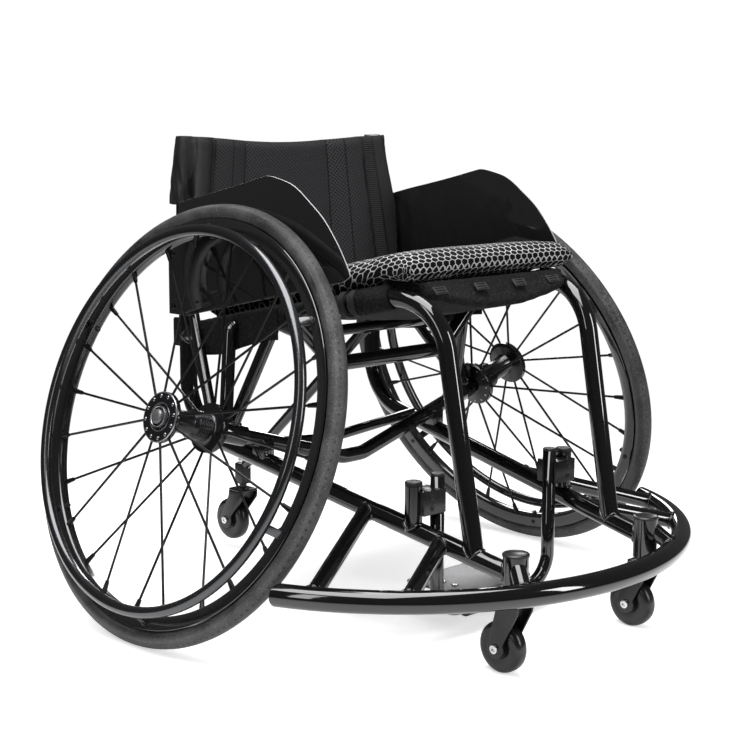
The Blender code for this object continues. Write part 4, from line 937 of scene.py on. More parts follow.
class WHEELCHAIR_OT_stage(Build, bpy.types.Operator):
    """Make the camera, the studio lights, the white surround and the floor"""

    bl_idname = "wheelchair.stage"
    bl_label = "Studio"

    def execute(self, context):
        scene = context.scene
        scene.view_settings.view_transform = "Standard"
        camera = bpy.data.cameras.new("camera")
        camera.sensor_width = 36
        camera.lens = LENS_MM
        camera.clip_end = 60
        eye = bpy.data.objects.new("camera", camera)
        ahead = EYE_AHEAD.normalized()
        right = ahead.cross(Vector((0, 0, 1))).normalized()
        above = right.cross(ahead)
        turned = right * math.cos(ROLL) + above * math.sin(ROLL)
        upward = above * math.cos(ROLL) - right * math.sin(ROLL)
        basis = Matrix((turned, upward, -ahead)).transposed().to_4x4()
        eye.matrix_world = Matrix.Translation(EYE + Vector((0, AXLE_Y, 0))) @ basis
        scene.collection.objects.link(eye)
        scene.camera = eye
        self.make_floor()
        self.make_world(scene)
        softbox("overhead", (-0.4, -0.1, 2.4), (0, 0, 0.2), 1.6, 2.6, 92)
        softbox("front_left", (-2.6, -0.5, 1.5), (0, 0, 0.35), 0.4, 1.8, 12)
        softbox("front_right", (0.9, -2.8, 1.4), (0, 0, 0.3), 0.5, 1.6, 34)
        softbox("back_strip", (1.9, 1.7, 1.5), (0, 0, 0.4), 0.4, 1.8, 20)
        return {"FINISHED"}

    def make_floor(self):
        """Paper that glows white to the camera, more so further away, and takes a shadow near the chair."""
        shape = bmesh.new()
        bmesh.ops.create_grid(shape, x_segments=1, y_segments=1, size=14)
        floor = show("floor", shape)
        made = bpy.data.materials.new("floor_paper")
        made.use_nodes = True
        tree = made.node_tree
        shader = tree.nodes["Principled BSDF"]
        shader.inputs["Roughness"].default_value = 0.9
        shader.inputs["Specular IOR Level"].default_value = 0.0
        shader.inputs["Emission Color"].default_value = (1, 1, 1, 1)
        far = on_vector("LENGTH", give(tree, "TexCoord", "Object"), {}, "Value")
        away = spread(far, 0.55, 1.5, interpolation_type="SMOOTHSTEP")
        tint(shader, away, colours().floor, (0, 0, 0))
        rays = add(tree, "LightPath").outputs
        seen = Value(tree, rays["Is Camera Ray"]) * calc("MULTIPLY_ADD", away, 0.48, 0.54)
        shiny = Value(tree, rays["Is Glossy Ray"]) * calc("MULTIPLY_ADD", away, -0.14, 0.20)
        plug(seen + shiny, shader.inputs["Emission Strength"])
        floor.data.materials.append(made)

    def make_world(self, scene):
        """White to the camera, and grey as a light and in reflections."""
        world = bpy.data.worlds.new("white_surround")
        world.use_nodes = True
        tree = world.node_tree
        tree.nodes.clear()
        rays = {socket.name: Value(tree, socket) for socket in add(tree, "LightPath").outputs}
        seen = calc("MAXIMUM", rays["Is Camera Ray"], rays["Is Transmission Ray"])
        level = calc("MAXIMUM", seen, calc("MULTIPLY_ADD", rays["Is Glossy Ray"], -0.20, 0.28))
        glow = give(tree, "Background", 0, {"Color": (1, 1, 1, 1), "Strength": level})
        add(tree, "OutputWorld", {"Surface": glow})
        scene.world = world


def softbox(name, place, target, width, height, power):
    """An area light that faces a target."""
    light = bpy.data.lights.new(name, "AREA")
    light.shape = "RECTANGLE"
    light.size = width
    light.size_y = height
    light.energy = power
    made = bpy.data.objects.new(name, light)
    made.location = place
    made.rotation_mode = "QUATERNION"
    made.rotation_quaternion = (Vector(target) - Vector(place)).to_track_quat("-Z", "Y")
    bpy.context.scene.collection.objects.link(made)


def painted(name, shape, hides, finishes="paint"):
    """Settle one of the frame's painted pieces."""
    return settle(name, shape, finishes, "frame", hides)


class WHEELCHAIR_OT_tubes(Build, bpy.types.Operator):
    """Make the frame's tubes smooth and round, with their saddles and sockets"""

    bl_idname = "wheelchair.tubes"
    bl_label = "Frame tubes"

    def execute(self, context):
        def tube(name, path, radius):
            painted(name + "_tube_smooth", bar(path, radius), name)

        for side, end in SIDES:
            tube("side_tube_" + end, side_tube_path(side), TUBE_R)
            tube("seat_rail_" + end, rail_path(side), TUBE_R)
            post = [flipped(point, side) for point in (axle_point(1, RECEIVER_X), POST_KNEE, RAIL_MID)]
            tube("seat_post_" + end, rounded(post, [0.012]), POST_R)
            tube("rail_brace_" + end, [flipped(BRACE_FOOT, side), flipped(rail_at(BRACE_Y), side)], BRACE_R)
            head = (UPRIGHT.x, UPRIGHT.y, REAR_STRUT_HEAD_Z)
            tube("rear_strut_" + end, [flipped(REAR_STRUT_START, side), flipped(head, side)], THIN_R)
            for place, (top_y, foot_x) in STRUTS.items():
                line = [flipped(side_tube_at(top_y), side), flipped(bumper_at(foot_x), side)]
                tube("bumper_" + place + "_strut_" + end, line, STRUT_R)
            self.receiver(side, end)
            self.housing(side, end)
            self.socket(side, end)
        hoop = [rail_at(HOOP_BEND.y), HOOP_BEND]
        tube("seat_hoop", rounded(mirrored(hoop), [0.045, 0.045]), STRUT_R)
        self.camber_bar()
        level = side_tube_at(REAR_CROSS_Y) + Vector((0, 0, REAR_CROSS_RISE))
        cross = [flipped(level, -1), Vector((0, REAR_CROSS_Y, REAR_CROSS_MIDDLE_Z)), level]
        tube("rear_cross_tube", rounded(cross, [0.2], math.radians(3)), THIN_R)
        cross = [rail_at(CROSS_BEND.y), CROSS_BEND]
        tube("seat_cross_tube", rounded(mirrored(cross), [0.06, 0.06]), THIN_R)
        tube("tail_strut", [CROSS_MIDDLE, TAIL_STRUT_FOOT], THIN_R)
        return {"FINISHED"}

    def receiver(self, side, end):
        """Bored sleeve that an axle pin runs into."""
        profile = [
            (-0.113, 0), (-0.113, 0.0135), (-0.1115, 0.015), (-0.0645, 0.015), (-0.063, 0.0142),
            (-0.0625, 0.0128), (-0.0625, 0.0066), (-0.1, 0.0066), (-0.1, 0),
        ]
        painted("receiver_sleeve_" + end, lathe(profile, wheel_place(side), 48), "axle_receiver_" + end)

    def housing(self, side, end):
        """Castor housing with its cap, and the stub to the bumper."""
        profile = [
            (0, 0), (0, 0.0148), (0.0012, HOUSING_R), (0.0552, HOUSING_R), (0.0552, 0.0175), (0.0575, 0.0175),
            (0.0587, 0.0163), (0.059, 0.015), (0.058, 0.0135), (0.0578, 0),
        ]
        shape = lathe(profile, upright(side * HOUSING.x, HOUSING.y, HOUSING_BASE), 48)
        refinish(shape, 1, lambda centre: centre.z > HOUSING_BASE + 0.0551)
        stub = [flipped((HOUSING.x, HOUSING.y, STUB_TOP_Z), side), flipped(bumper_at(STUB_FOOT_X), side)]
        absorb(shape, bar(stub, STRUT_R))
        painted("castor_housing_smooth_" + end, shape, "castor_housing_" + end, "paint cap")

    def socket(self, side, end):
        """Short tube beside the footrest, with its plug."""
        foot = side_tube_at(SOCKET.y).z
        top = SOCKET.z - foot
        profile = [
            (0, 0), (0, SOCKET_R), (top - 0.006, SOCKET_R), (top - 0.0057, SOCKET_R - 0.0006),
            (top - 0.0054, SOCKET_R), (top - 0.0014, SOCKET_R), (top, SOCKET_R - 0.0014), (top - 0.0003, 0),
        ]
        shape = lathe(profile, upright(side * SOCKET.x, SOCKET.y, foot), 40)
        refinish(shape, 1, lambda centre: centre.z > SOCKET.z - 0.0058)
        painted("footrest_socket_smooth_" + end, shape, "footrest_socket_" + end, "paint matte")

    def camber_bar(self):
        """Bar between the receivers, with its two saddles on the side tubes."""
        end = axle_point(1, WHEEL_CENTRE.x + (-RECEIVER_END + CAMBER_BAR_OVERLAP) * math.cos(CAMBER))
        line = [end, CAMBER_BAR_MIDDLE]
        shape = bar(rounded(mirrored(line), [0.05, 0.05]), STRUT_R)
        for side, _ in SIDES:
            foot = flipped(side_tube_at(0), side)
            place = Matrix.Translation((foot.x, foot.y, foot.z + SADDLE_RISE))
            absorb(shape, solid_block((0.022, 0.026, 0.029), place, 0.003, 3))
        painted("camber_bar_smooth", shape, "camber_bar")


class WHEELCHAIR_OT_welds(Build, bpy.types.Operator):
    """Lay a rippled weld bead round each joint of the tubes"""

    bl_idname = "wheelchair.welds"
    bl_label = "Weld beads"

    def execute(self, context):
        shape = bmesh.new()
        for side, _ in SIDES:
            self.side_welds(shape, side)
        away = TAIL_STRUT_FOOT - CROSS_MIDDLE
        bead(shape, CROSS_MIDDLE, away, THIN_R, CROSS_MIDDLE, (1, 0, 0), THIN_R)
        settle("weld_beads", shape, "paint", "frame", sharp=60)
        return {"FINISHED"}

    def side_welds(self, shape, side):
        """One side's beads: a tube's end, way and radius, then its carrier's middle, way and radius."""
        up = Vector((0, 0, 1))
        tube = side_tube_line(side)
        axle = Vector((side * math.cos(CAMBER), 0, math.sin(CAMBER)))
        hub = axle_point(side, RECEIVER_X)
        corner = flipped((UPRIGHT.x, UPRIGHT.y, 0), side)
        mid = flipped(RAIL_MID, side)
        knee = flipped(POST_KNEE, side)
        brace = flipped(rail_at(BRACE_Y), side)
        foot = flipped(BRACE_FOOT, side)
        strut = flipped(REAR_STRUT_START, side)
        head = flipped((UPRIGHT.x, UPRIGHT.y, REAR_STRUT_HEAD_Z), side)
        rail = flipped((UPRIGHT.x, UPRIGHT.y, RAIL_REAR_Z), side)
        leg = flipped(LEG_FOOT, side)
        bead(shape, rail, mid - rail, TUBE_R, corner, up, TUBE_R)
        bead(shape, hub, knee - hub, POST_R, hub, axle, RECEIVER_R)
        bead(shape, mid, knee - mid, POST_R, mid, rail_line(RAIL_MID.y, side), TUBE_R)
        bead(shape, brace, foot - brace, BRACE_R, brace, rail_line(BRACE_Y, side), TUBE_R)
        bead(shape, foot, brace - foot, BRACE_R, hub, axle, RECEIVER_R)
        bead(shape, strut, head - strut, THIN_R, hub, axle, RECEIVER_R)
        bead(shape, head, strut - head, THIN_R, corner, up, TUBE_R)
        bead(shape, leg, flipped(RAIL_BEND, side) - leg, TUBE_R, leg, tube, TUBE_R)
        for top_y, foot_x in STRUTS.values():
            top = flipped(side_tube_at(top_y), side)
            low = flipped(bumper_at(foot_x), side)
            bead(shape, top, low - top, STRUT_R, top, tube, TUBE_R)
            bead(shape, low, top - low, STRUT_R, low, flipped(bumper_run(foot_x), side), BUMPER_R)
        low = flipped(bumper_at(STUB_FOOT_X), side)
        top = flipped((HOUSING.x, HOUSING.y, STUB_TOP_Z), side)
        bead(shape, low, top - low, STRUT_R, low, flipped(bumper_run(STUB_FOOT_X), side), BUMPER_R)
        post = flipped((HOUSING.x, HOUSING.y, 0), side)
        bead(shape, flipped(HOUSING, side), -tube, TUBE_R, post, up, HOUSING_R)
        for bend, radius in ((HOOP_BEND, STRUT_R), (CROSS_BEND, THIN_R)):
            end = flipped(rail_at(bend.y), side)
            bead(shape, end, flipped(bend, side) - end, radius, end, rail_line(bend.y, side), TUBE_R)
        inner = axle_point(side, WHEEL_CENTRE.x - RECEIVER_END * math.cos(CAMBER))
        ring_bead(shape, inner, -axle, STRUT_R + 0.0004)
        socket = flipped((SOCKET.x, SOCKET.y, side_tube_at(SOCKET.y).z), side)
        bead(shape, socket, up, SOCKET_R, socket, tube, TUBE_R)


def ring_round(away, radius):
    """Points on a ring about the origin, square to a direction."""
    first = away.orthogonal().normalized()
    second = away.cross(first)
    turns = [2 * math.pi * part / BEAD_PARTS for part in range(BEAD_PARTS)]
    return [(first * math.cos(turn) + second * math.sin(turn)) * radius for turn in turns]


def rippled(target, points, size):
    """Add a closed bead with ripples to a bmesh."""
    swell = [1 + 0.16 * math.cos(math.pi * part) + 0.1 * math.sin(part * 0.7) for part in range(BEAD_PARTS)]
    absorb(target, bar(points, size, 2, True, swell))


def bead(target, tip, away, radius, carrier, along, carrier_radius, size=0.0019):
    """A bead where a tube that leaves a carrier tube meets its wall."""
    away = Vector(away).normalized()
    along = Vector(along).normalized()
    flat = away - along * away.dot(along)
    points = []
    for ring in ring_round(away, 1.0):
        start = tip + ring * radius
        offset = start - carrier
        offset = offset - along * offset.dot(along)
        half = offset.dot(flat)
        inside = max(0.0, half * half - flat.length_squared * (offset.length_squared - carrier_radius ** 2))
        reach = (-half + math.sqrt(inside)) / flat.length_squared
        points.append(start + away * reach + ring * size * 0.25)
    rippled(target, points, size)


def ring_bead(target, place, away, radius, size=0.0018):
    """A bead round a butt joint."""
    rippled(target, [place + point for point in ring_round(away.normalized(), radius)], size)


class WHEELCHAIR_OT_bumper(Build, bpy.types.Operator):
    """Make the front bumper, with both ends cut square to the chair's length"""

    bl_idname = "wheelchair.bumper"
    bl_label = "Bumper"

    def execute(self, context):
        shape = bar(bumper_path(), BUMPER_R, 14)
        cut = bmesh.ops.bisect_plane(
            shape, geom=list(shape.verts) + list(shape.edges) + list(shape.faces), dist=0.00001,
            plane_co=(0, BUMPER_END_Y, 0), plane_no=(0, 1, 0), clear_outer=True,
        )
        edges = [item for item in cut["geom_cut"] if isinstance(item, bmesh.types.BMEdge)]
        bmesh.ops.holes_fill(shape, edges=edges, sides=0)
        settle("bumper_smooth", shape, "paint", "frame", "bumper", merge=0.00001)
        return {"FINISHED"}


class WHEELCHAIR_OT_tyres(Build, bpy.types.Operator):
    """Make both main tyres with a round section and a file tread"""

    bl_idname = "wheelchair.tyres"
    bl_label = "Tyres"

    def execute(self, context):
        sizes = context.scene.chair_wheels
        ring = sizes.tyre_radius - sizes.tyre_section
        profile = arc((0, ring), sizes.tyre_section, 0, 360, 28)[:-1]
        for side, end in SIDES:
            shape = lathe(profile, wheel_place(side), WHEEL_STEPS, True)
            tyre = "tyre_" + end
            settle("tyre_round_" + end, shape, tyre, "wheel_" + end, tyre, 60)
        return {"FINISHED"}


class WHEELCHAIR_OT_rims(Build, bpy.types.Operator):
    """Make both rims, with rounded shoulders and a valley under the tyre"""

    bl_idname = "wheelchair.rims"
    bl_label = "Rims"

    def execute(self, context):
        half = [
            (0, -0.0001), (0.003, 0), (0.0056, 0.0005), (0.0076, 0.0019), (0.0088, 0.0044), (0.0096, 0.0095),
            (0.0102, 0.015), (0.0105, 0.0175), (0.0105, 0.0192), (0.0099, 0.02), (0.0091, 0.0198),
            (0.0085, 0.0185),
        ]
        rise = half + [(0, 0.0168)] + [(-along, radius) for along, radius in half[:0:-1]]
        inner = context.scene.chair_wheels.rim_inner
        profile = [(along, inner + radius) for along, radius in rise]
        for side, end in SIDES:
            shape = lathe(profile, wheel_place(side), WHEEL_STEPS, True)
            settle("rim_round_" + end, shape, "rim", "wheel_" + end, "rim_" + end, 35)
        return {"FINISHED"}


class WHEELCHAIR_OT_handrims(Build, bpy.types.Operator):
    """Make both push rings, with six bolted tabs to the rim"""

    bl_idname = "wheelchair.handrims"
    bl_label = "Push rings"

    def execute(self, context):
        sizes = context.scene.chair_wheels
        profile = arc((HANDRIM_OFFSET, sizes.handrim_radius), sizes.handrim_tube, 0, 360, 20)[:-1]
        for side, end in SIDES:
            place = wheel_place(side)
            shape = lathe(profile, place, WHEEL_STEPS, True)
            for part in range(HANDRIM_TABS):
                turned = place @ Matrix.Rotation(math.radians(6 + 60 * part), 4, "X")
                self.tab(shape, turned, sizes.handrim_radius)
            hides = "handrim_" + end
            settle("push_ring_" + end, shape, "ring matte", "wheel_" + end, hides)
        return {"FINISHED"}

    def tab(self, shape, place, ring_radius):
        """A leaning tab with a bolt through the rim and a knob under it."""
        head = Vector((HANDRIM_OFFSET - 0.004, 0, ring_radius))
        run = head - TAB_FOOT
        lean = Matrix.Translation((TAB_FOOT + head) / 2) @ Matrix.Rotation(math.atan2(-run.z, run.x), 4, "Y")
        absorb(shape, solid_block((run.length, 0.012, 0.003), place @ lean, 0.0009, 2))
        turn = place.to_3x3()
        for out, radius in ((1, 0.0042), (-1, 0.0034)):
            point = place @ Vector((out * 0.01, 0, TAB_FOOT.z))
            screw(shape, point, turn @ Vector((out, 0, 0)), radius, 0.0012, 1)
        screw(shape, place @ Vector((0, 0, 0.2622)), turn @ Vector((0, 0, -1)), 0.0036, 0.0052, 1, False)


class WHEELCHAIR_OT_hubs(Build, bpy.types.Operator):
    """Make the hub shells, the spokes with their nipples and the spoke heads"""

    bl_idname = "wheelchair.hubs"
    bl_label = "Hubs and spokes"

    def execute(self, context):
        sizes = context.scene.chair_wheels
        for side, end in SIDES:
            place = wheel_place(side)
            shape = self.shell(place)
            for part in range(sizes.spokes):
                self.spoke(shape, place, part, sizes)
            name = "hub_with_spokes_" + end
            finishes = "anodised alloy rivet spoke"
            settle(name, shape, finishes, "wheel_" + end, "hub_and_spokes_" + end, 35)
        return {"FINISHED"}

    def shell(self, place):
        """Inner flange, ridged drum, cone, narrow neck and outer flange."""
        profile = [
            (-0.058, 0.0068), (-0.058, 0.0165), (-0.0572, 0.018), (-0.055, 0.031), (-0.054, 0.0345),
            (-0.0528, 0.035), (-0.0452, 0.035), (-0.044, 0.0344), (-0.043, 0.03), (-0.0415, 0.0235),
            (-0.04, 0.0215),
        ]
        for part in range(8):
            start = -0.039 + 0.003 * part
            steps = ((0, 0.0204), (0.0006, 0.0214), (0.0018, 0.0214), (0.0024, 0.0204))
            profile += [(start + along, radius) for along, radius in steps]
        profile += [
            (-0.015, 0.0203), (-0.0105, 0.0163), (-0.009, 0.016), (0.0255, 0.016), (0.0275, 0.0172),
            (0.03, 0.0285), (0.0312, 0.0338), (0.0322, 0.035), (0.0388, 0.035), (0.0398, 0.0343),
            (0.04, 0.033), (0.04, 0.02), (0.0396, 0.0188), (0.037, 0.0185), (0.037, 0.0068),
        ]
        shape = lathe(profile, Matrix.Identity(4), 72, True)

        def pale(centre):
            radius = math.hypot(centre.y, centre.z)
            return 0.0335 < radius and centre.x > 0.0385 or radius < 0.02 and centre.x > 0.0372

        refinish(shape, 1, pale)
        shape.transform(place)
        return shape

    def spoke(self, target, place, part, sizes):
        """A straight spoke with its nipple and its head, from the outer and the inner flange by turns."""
        out, along, finish, face = (-1, -0.0485, -0.003, -0.054) if part % 2 else (1, 0.0355, 0.003, 0.0398)
        angle = FIRST_SPOKE + 2 * math.pi * part / sizes.spokes
        radial = Vector((0, math.cos(angle), math.sin(angle)))
        start = Vector((along, 0, 0)) + radial * 0.031
        end = Vector((finish, 0, 0)) + radial * (sizes.rim_inner + 0.0005)
        line = end - start
        radius = sizes.spoke_radius
        parts = (
            ((start + end) / 2, radius, radius, line.length),
            (end - line.normalized() * 0.007, 0.0029, 0.0042, 0.018),
        )
        for middle, first, second, length in parts:
            lay = aimed(middle, line) @ Matrix.Rotation(math.pi / 2, 4, "Y")
            absorb(target, cone(8, first, second, length, place @ lay), 3)
        head = Vector((face, 0, 0)) + radial * 0.029
        profile = [(-0.001, 0), (-0.001, 0.0027), (0.0006, 0.0027), (0.0016, 0.0018), (0.002, 0)]
        absorb(target, lathe(profile, place @ aimed(head, (out, 0, 0)), 10), 2)


class WHEELCHAIR_OT_axles(Build, bpy.types.Operator):
    """Make the quick-release pins and their domed buttons"""

    bl_idname = "wheelchair.axles"
    bl_label = "Axle pins"

    def execute(self, context):
        pin = [
            (-0.1, 0), (-0.1, 0.0048), (-0.0985, 0.00635), (0.0374, 0.00635), (0.0374, 0.014),
            (0.038, 0.0145), (0.0426, 0.0145), (0.0434, 0.0142), (0.0436, 0.0136), (0.0432, 0.013),
            (0.0424, 0.0126), (0.0422, 0.0112), (0.0418, 0.0106), (0.0385, 0.0106), (0.0385, 0),
        ]
        dome = [
            (0.0413, 0), (0.0413, 0.0103), (0.044, 0.0103), (0.0456, 0.0097), (0.0469, 0.0083),
            (0.0479, 0.006), (0.0484, 0.0032), (0.0485, 0),
        ]
        for side, end in SIDES:
            place = wheel_place(side)
            shape = lathe(pin, Matrix.Identity(4), 56)
            refinish(shape, 1, lambda centre: centre.x > 0.0383 and math.hypot(centre.y, centre.z) < 0.0131)
            shape.transform(place)
            hides = "axle_pin_" + end
            settle("axle_pin_round_" + end, shape, "alloy anodised", "frame", hides)
            shape = lathe(dome, place, 40)
            hides = "release_button_" + end
            settle("button_dome_" + end, shape, "button", "button_" + end, hides)
        return {"FINISHED"}


def fork_shape(x, y, crown_top, trail, axle_z, inside):
    """Crown with rounded edges and two egg-shaped plates."""
    low = crown_top - 0.004
    outline = arc((y + trail, axle_z), 0.0135, 28, -208, 48)
    outline += [
        (y - 0.0165, low - 0.01), (y - FORK_HALF, low - 0.004), (y - FORK_HALF, low), (y + FORK_HALF, low),
        (y + 0.019, low - 0.01),
    ]
    shape = slab(outline, x - inside - FORK_PLATE, x - inside, "X", 0.0008, 3)
    absorb(shape, slab(outline, x + inside, x + inside + FORK_PLATE, "X", 0.0008, 3))
    size = (2 * (inside + FORK_PLATE), 2 * FORK_HALF, 0.0045)
    absorb(shape, solid_block(size, Matrix.Translation((x, y, crown_top - 0.00225)), 0.0016, 3))
    collar = [(-0.0006, 0), (-0.0006, 0.0105), (0.0012, 0.01), (0.0012, 0.006), (0.016, 0.006), (0.016, 0)]
    absorb(shape, lathe(collar, upright(x, y, crown_top), 32))
    return shape


def small_wheel_shape(place, radius, half):
    """Rubber wheel with a rounded tread, a step at its core and a bearing face."""
    face = 0.0095
    side = [
        (half + 0.0012, 0.0043), (half + 0.0012, face - 0.0006), (half + 0.0008, face),
        (half - 0.0016, face + 0.0006), (half - 0.002, face + 0.004), (half - 0.001, face + 0.0048),
        (half, radius * 0.62), (half, radius * 0.78), (half - 0.0012, radius * 0.90),
        (half - 0.004, radius * 0.975), (half * 0.30, radius * 0.998),
    ]
    profile = side + [(0, radius)] + [(-along, r) for along, r in side[::-1]]
    shape = lathe(profile, Matrix.Identity(4), 72, True)
    refinish(shape, 1, lambda centre: math.hypot(centre.y, centre.z) < face + 0.0044)
    shape.transform(place)
    return shape


def bolt_shape(place, inside):
    """Socket-head bolt on the right and a domed nut on the left."""
    out = inside + FORK_PLATE + 0.0003
    profile = [
        (-out - 0.0015, 0), (-out - 0.0015, 0.003), (-out - 0.0034, 0.0032), (-out - 0.0035, 0.0048),
        (-out - 0.003, 0.006), (-out - 0.0004, 0.0062), (-out + 0.0006, 0.0062), (-out + 0.0006, 0.004),
        (out - 0.0006, 0.004), (out - 0.0006, 0.0062), (out + 0.0024, 0.0062), (out + 0.003, 0.005),
        (out + 0.003, 0),
    ]
    return lathe(profile, place, 24)


class WHEELCHAIR_OT_castors(Build, bpy.types.Operator):
    """Make the two front castors and the anti-tip castor"""

    bl_idname = "wheelchair.castors"
    bl_label = "Castors"

    def execute(self, context):
        radius = context.scene.chair_wheels.castor_radius
        for side, end in SIDES:
            nodes = ("castor_fork_" + end, "castor_wheel_" + end, "castor_bolt_" + end)
            at = (side * HOUSING.x, HOUSING.y)
            self.castor(at, FRONT_FORK, (radius, FRONT_WHEEL_HALF), nodes, "castor_" + end)
        nodes = ("tail_fork", "tail_wheel", "tail_bolt")
        self.castor((0, TAIL_Y), TAIL_FORK, TAIL_WHEEL, nodes, "tail_castor")
        self.tail_holder()
        return {"FINISHED"}

    def castor(self, at, fork, wheel, nodes, body):
        """Fork, wheel and bolt; the wheel's body has the name of its node."""
        x, y = at
        _, trail, axle_z, inside = fork
        place = Matrix.Translation((x, y + trail, axle_z))
        settle(nodes[0] + "_plates", fork_shape(x, y, *fork), "fork", body, nodes[0], 35)
        shape = small_wheel_shape(place, *wheel)
        settle(nodes[1] + "_round", shape, "castor matte", nodes[1], nodes[1], 35)
        settle(nodes[2] + "_head", bolt_shape(place, inside), "steel", body, nodes[2], 35)

    def tail_holder(self):
        """Block at the strut's foot, with a washer and a nut on its top."""
        place = Matrix.Translation((0, TAIL_Y, (TAIL_BLOCK_LOW + TAIL_BLOCK_TOP) / 2))
        shape = solid_block((0.020, 0.020, TAIL_BLOCK_TOP - TAIL_BLOCK_LOW), place, 0.003, 3)
        nut = cone(6, 0.0075, 0.0075, 0.0085)
        soften(nut, list(nut.edges), 0.0007, 2)
        nut.transform(Matrix.Translation((0, TAIL_Y, TAIL_BLOCK_TOP + 0.0045)))
        absorb(shape, nut, 1)
        washer = [(0, 0), (0, 0.0088), (0.001, 0.0088), (0.0013, 0.008), (0.0013, 0)]
        absorb(shape, lathe(washer, upright(0, TAIL_Y, TAIL_BLOCK_TOP - 0.0002), 32), 1)
        settle("tail_holder_block", shape, "clamp steel", "frame", "tail_holder", 35)


class WHEELCHAIR_OT_footrest(Build, bpy.types.Operator):
    """Make the footrest's bent tube, its plugs, its plate and the two clamps"""

    bl_idname = "wheelchair.footrest"
    bl_label = "Footrest"

    def execute(self, context):
        x, y, top = FOOT_TUBE
        top -= 0.0034
        line = [Vector((x, y, top)), Vector((x, y, FOOT_BAR_Z))]
        shape = bar(rounded(mirrored(line), [0.045, 0.045]), FOOT_TUBE_R, 10, caps=False)
        made = settle("footrest_bent_tube", shape, "paint", "footrest", "footrest_tube")
        thicken(made, 0.0017, -1, "wall")
        plug_profile = [
            (-0.004, 0), (-0.004, 0.0074), (0.0001, 0.0074), (0.0001, 0.0095), (0.0022, 0.0095),
            (0.0034, 0.0083), (0.0031, 0),
        ]
        shape = lathe(plug_profile, upright(-x, y, top), 36)
        absorb(shape, lathe(plug_profile, upright(x, y, top), 36))
        settle("footrest_plugs", shape, "matte", "footrest")
        self.plate()
        for side, end in SIDES:
            self.clamp(side, end)
        return {"FINISHED"}

    def plate(self):
        """Plate with rounded corners on two tongues, each held by a collar and two screws."""
        rear, front, half = -0.188, -0.295, 0.078
        small, large = 0.006, 0.020
        outline = arc((half - small, rear - small), small, 0, 90, 8)
        outline += arc((-half + small, rear - small), small, 90, 180, 8)
        outline += arc((-half + large, front + large), large, 180, 270, 8)
        outline += arc((half - large, front + large), large, 270, 360, 8)
        shape = slab(outline, PLATE_TOP - 0.004, PLATE_TOP, "Z", 0.0009, 3)
        collar = [
            (-0.012, 0.0098), (-0.012, 0.0135), (-0.011, 0.0145), (0.011, 0.0145), (0.012, 0.0135),
            (0.012, 0.0098),
        ]
        for side, _ in SIDES:
            x = side * TONGUE_X
            absorb(shape, lathe(collar, Matrix.Translation((x, FOOT_TUBE.y, FOOT_BAR_Z)), 40, True), 1)
            tongue = Matrix.Translation((x, -0.2592, PLATE_TOP - 0.0065))
            absorb(shape, solid_block((0.024, 0.0684, 0.005), tongue, 0.0012, 3), 1)
            for y in (-0.2344, -0.2565):
                screw(shape, Vector((x, y, PLATE_TOP)), (0, 0, 1), 0.0042, 0.0016, 2)
        settle("footplate_brushed", shape, "plate clamp steel", "footrest", "footplate", 35)

    def clamp(self, side, end):
        """Block between the two tubes, with a half-round groove for each and two screws in front."""
        inner = FOOT_TUBE.x - 0.001
        outer = SOCKET.x + 0.001
        middle = (SOCKET.y + FOOT_TUBE.y) / 2
        low, high = middle - 0.0175, middle + 0.0175
        bore = SOCKET_R + 0.0004
        reach = math.degrees(math.acos(0.001 / bore))
        outline = [(inner, low), (outer, low)] + arc(SOCKET, bore, -reach, reach - 360, 18)
        bore = FOOT_TUBE_R + 0.0004
        reach = math.degrees(math.acos(0.001 / bore))
        outline += [(outer, high), (inner, high)] + arc(FOOT_TUBE, bore, 180 - reach, reach - 180, 18)
        shape = slab([(x * side, y) for x, y in outline], CLAMP_LOW, CLAMP_TOP, "Z", 0.0005, 2)
        for z in CLAMP_SCREWS_Z:
            screw(shape, Vector((side * 0.142, low, z)), (0, -1, 0), 0.0036, 0.001, 1)
        name = "footrest_clamp_block_" + end
        settle(name, shape, "clamp matte", "frame", "footrest_clamp_" + end, 35)


class WHEELCHAIR_OT_guards(Build, bpy.types.Operator):
    """Make the glossy side guards with their pale edges, bosses and screws"""

    bl_idname = "wheelchair.guards"
    bl_label = "Side guards"

    def execute(self, context):
        curve = [
            (0.134, 0.578), (0.092, 0.588), (0.050, 0.597), (0.001, 0.608), (-0.050, 0.6205),
            (-0.061, 0.622), (-0.074, 0.6205), (-0.103, 0.614), (-0.122, 0.605), (-0.139, 0.593),
            (-0.168, 0.571), (-0.191, 0.545), (-0.206, 0.524), (-0.219, 0.501), (-0.216, 0.495),
            (-0.205, 0.489),
        ]
        outline = [(0.136, 0.545)] + smoothed(curve) + [(0.120, 0.4165), (0.160, 0.4165), (0.160, 0.520)]
        boss = [(0, 0), (0, 0.006), (0.026, 0.006), (0.026, 0)]
        for side, end in SIDES:
            low = GUARD_X if side > 0 else -GUARD_X - GUARD_THICK
            shape = slab(outline, low, low + GUARD_THICK, "X", 0.0004, 2)
            for face in shape.faces:
                face.material_index = 0 if abs(face.normal.x) > 0.9 else 1
            x = side * (GUARD_X + GUARD_THICK)
            for z in (0.4275, 0.505):
                place = aimed(Vector((side * UPRIGHT.x, UPRIGHT.y, z)), (side, 0, 0))
                absorb(shape, lathe(boss, place, 24), 2)
                screw(shape, Vector((x, UPRIGHT.y, z)), (side, 0, 0), 0.0042, 0.0012, 3)
            screw(shape, Vector((x, -0.1918, 0.532)), (side, 0, 0), 0.0032, 0.001, 3)
            finishes = "guard edge paint clamp"
            settle("guard_panel_" + end, shape, finishes, "frame", "side_guard_" + end, 35)
        return {"FINISHED"}


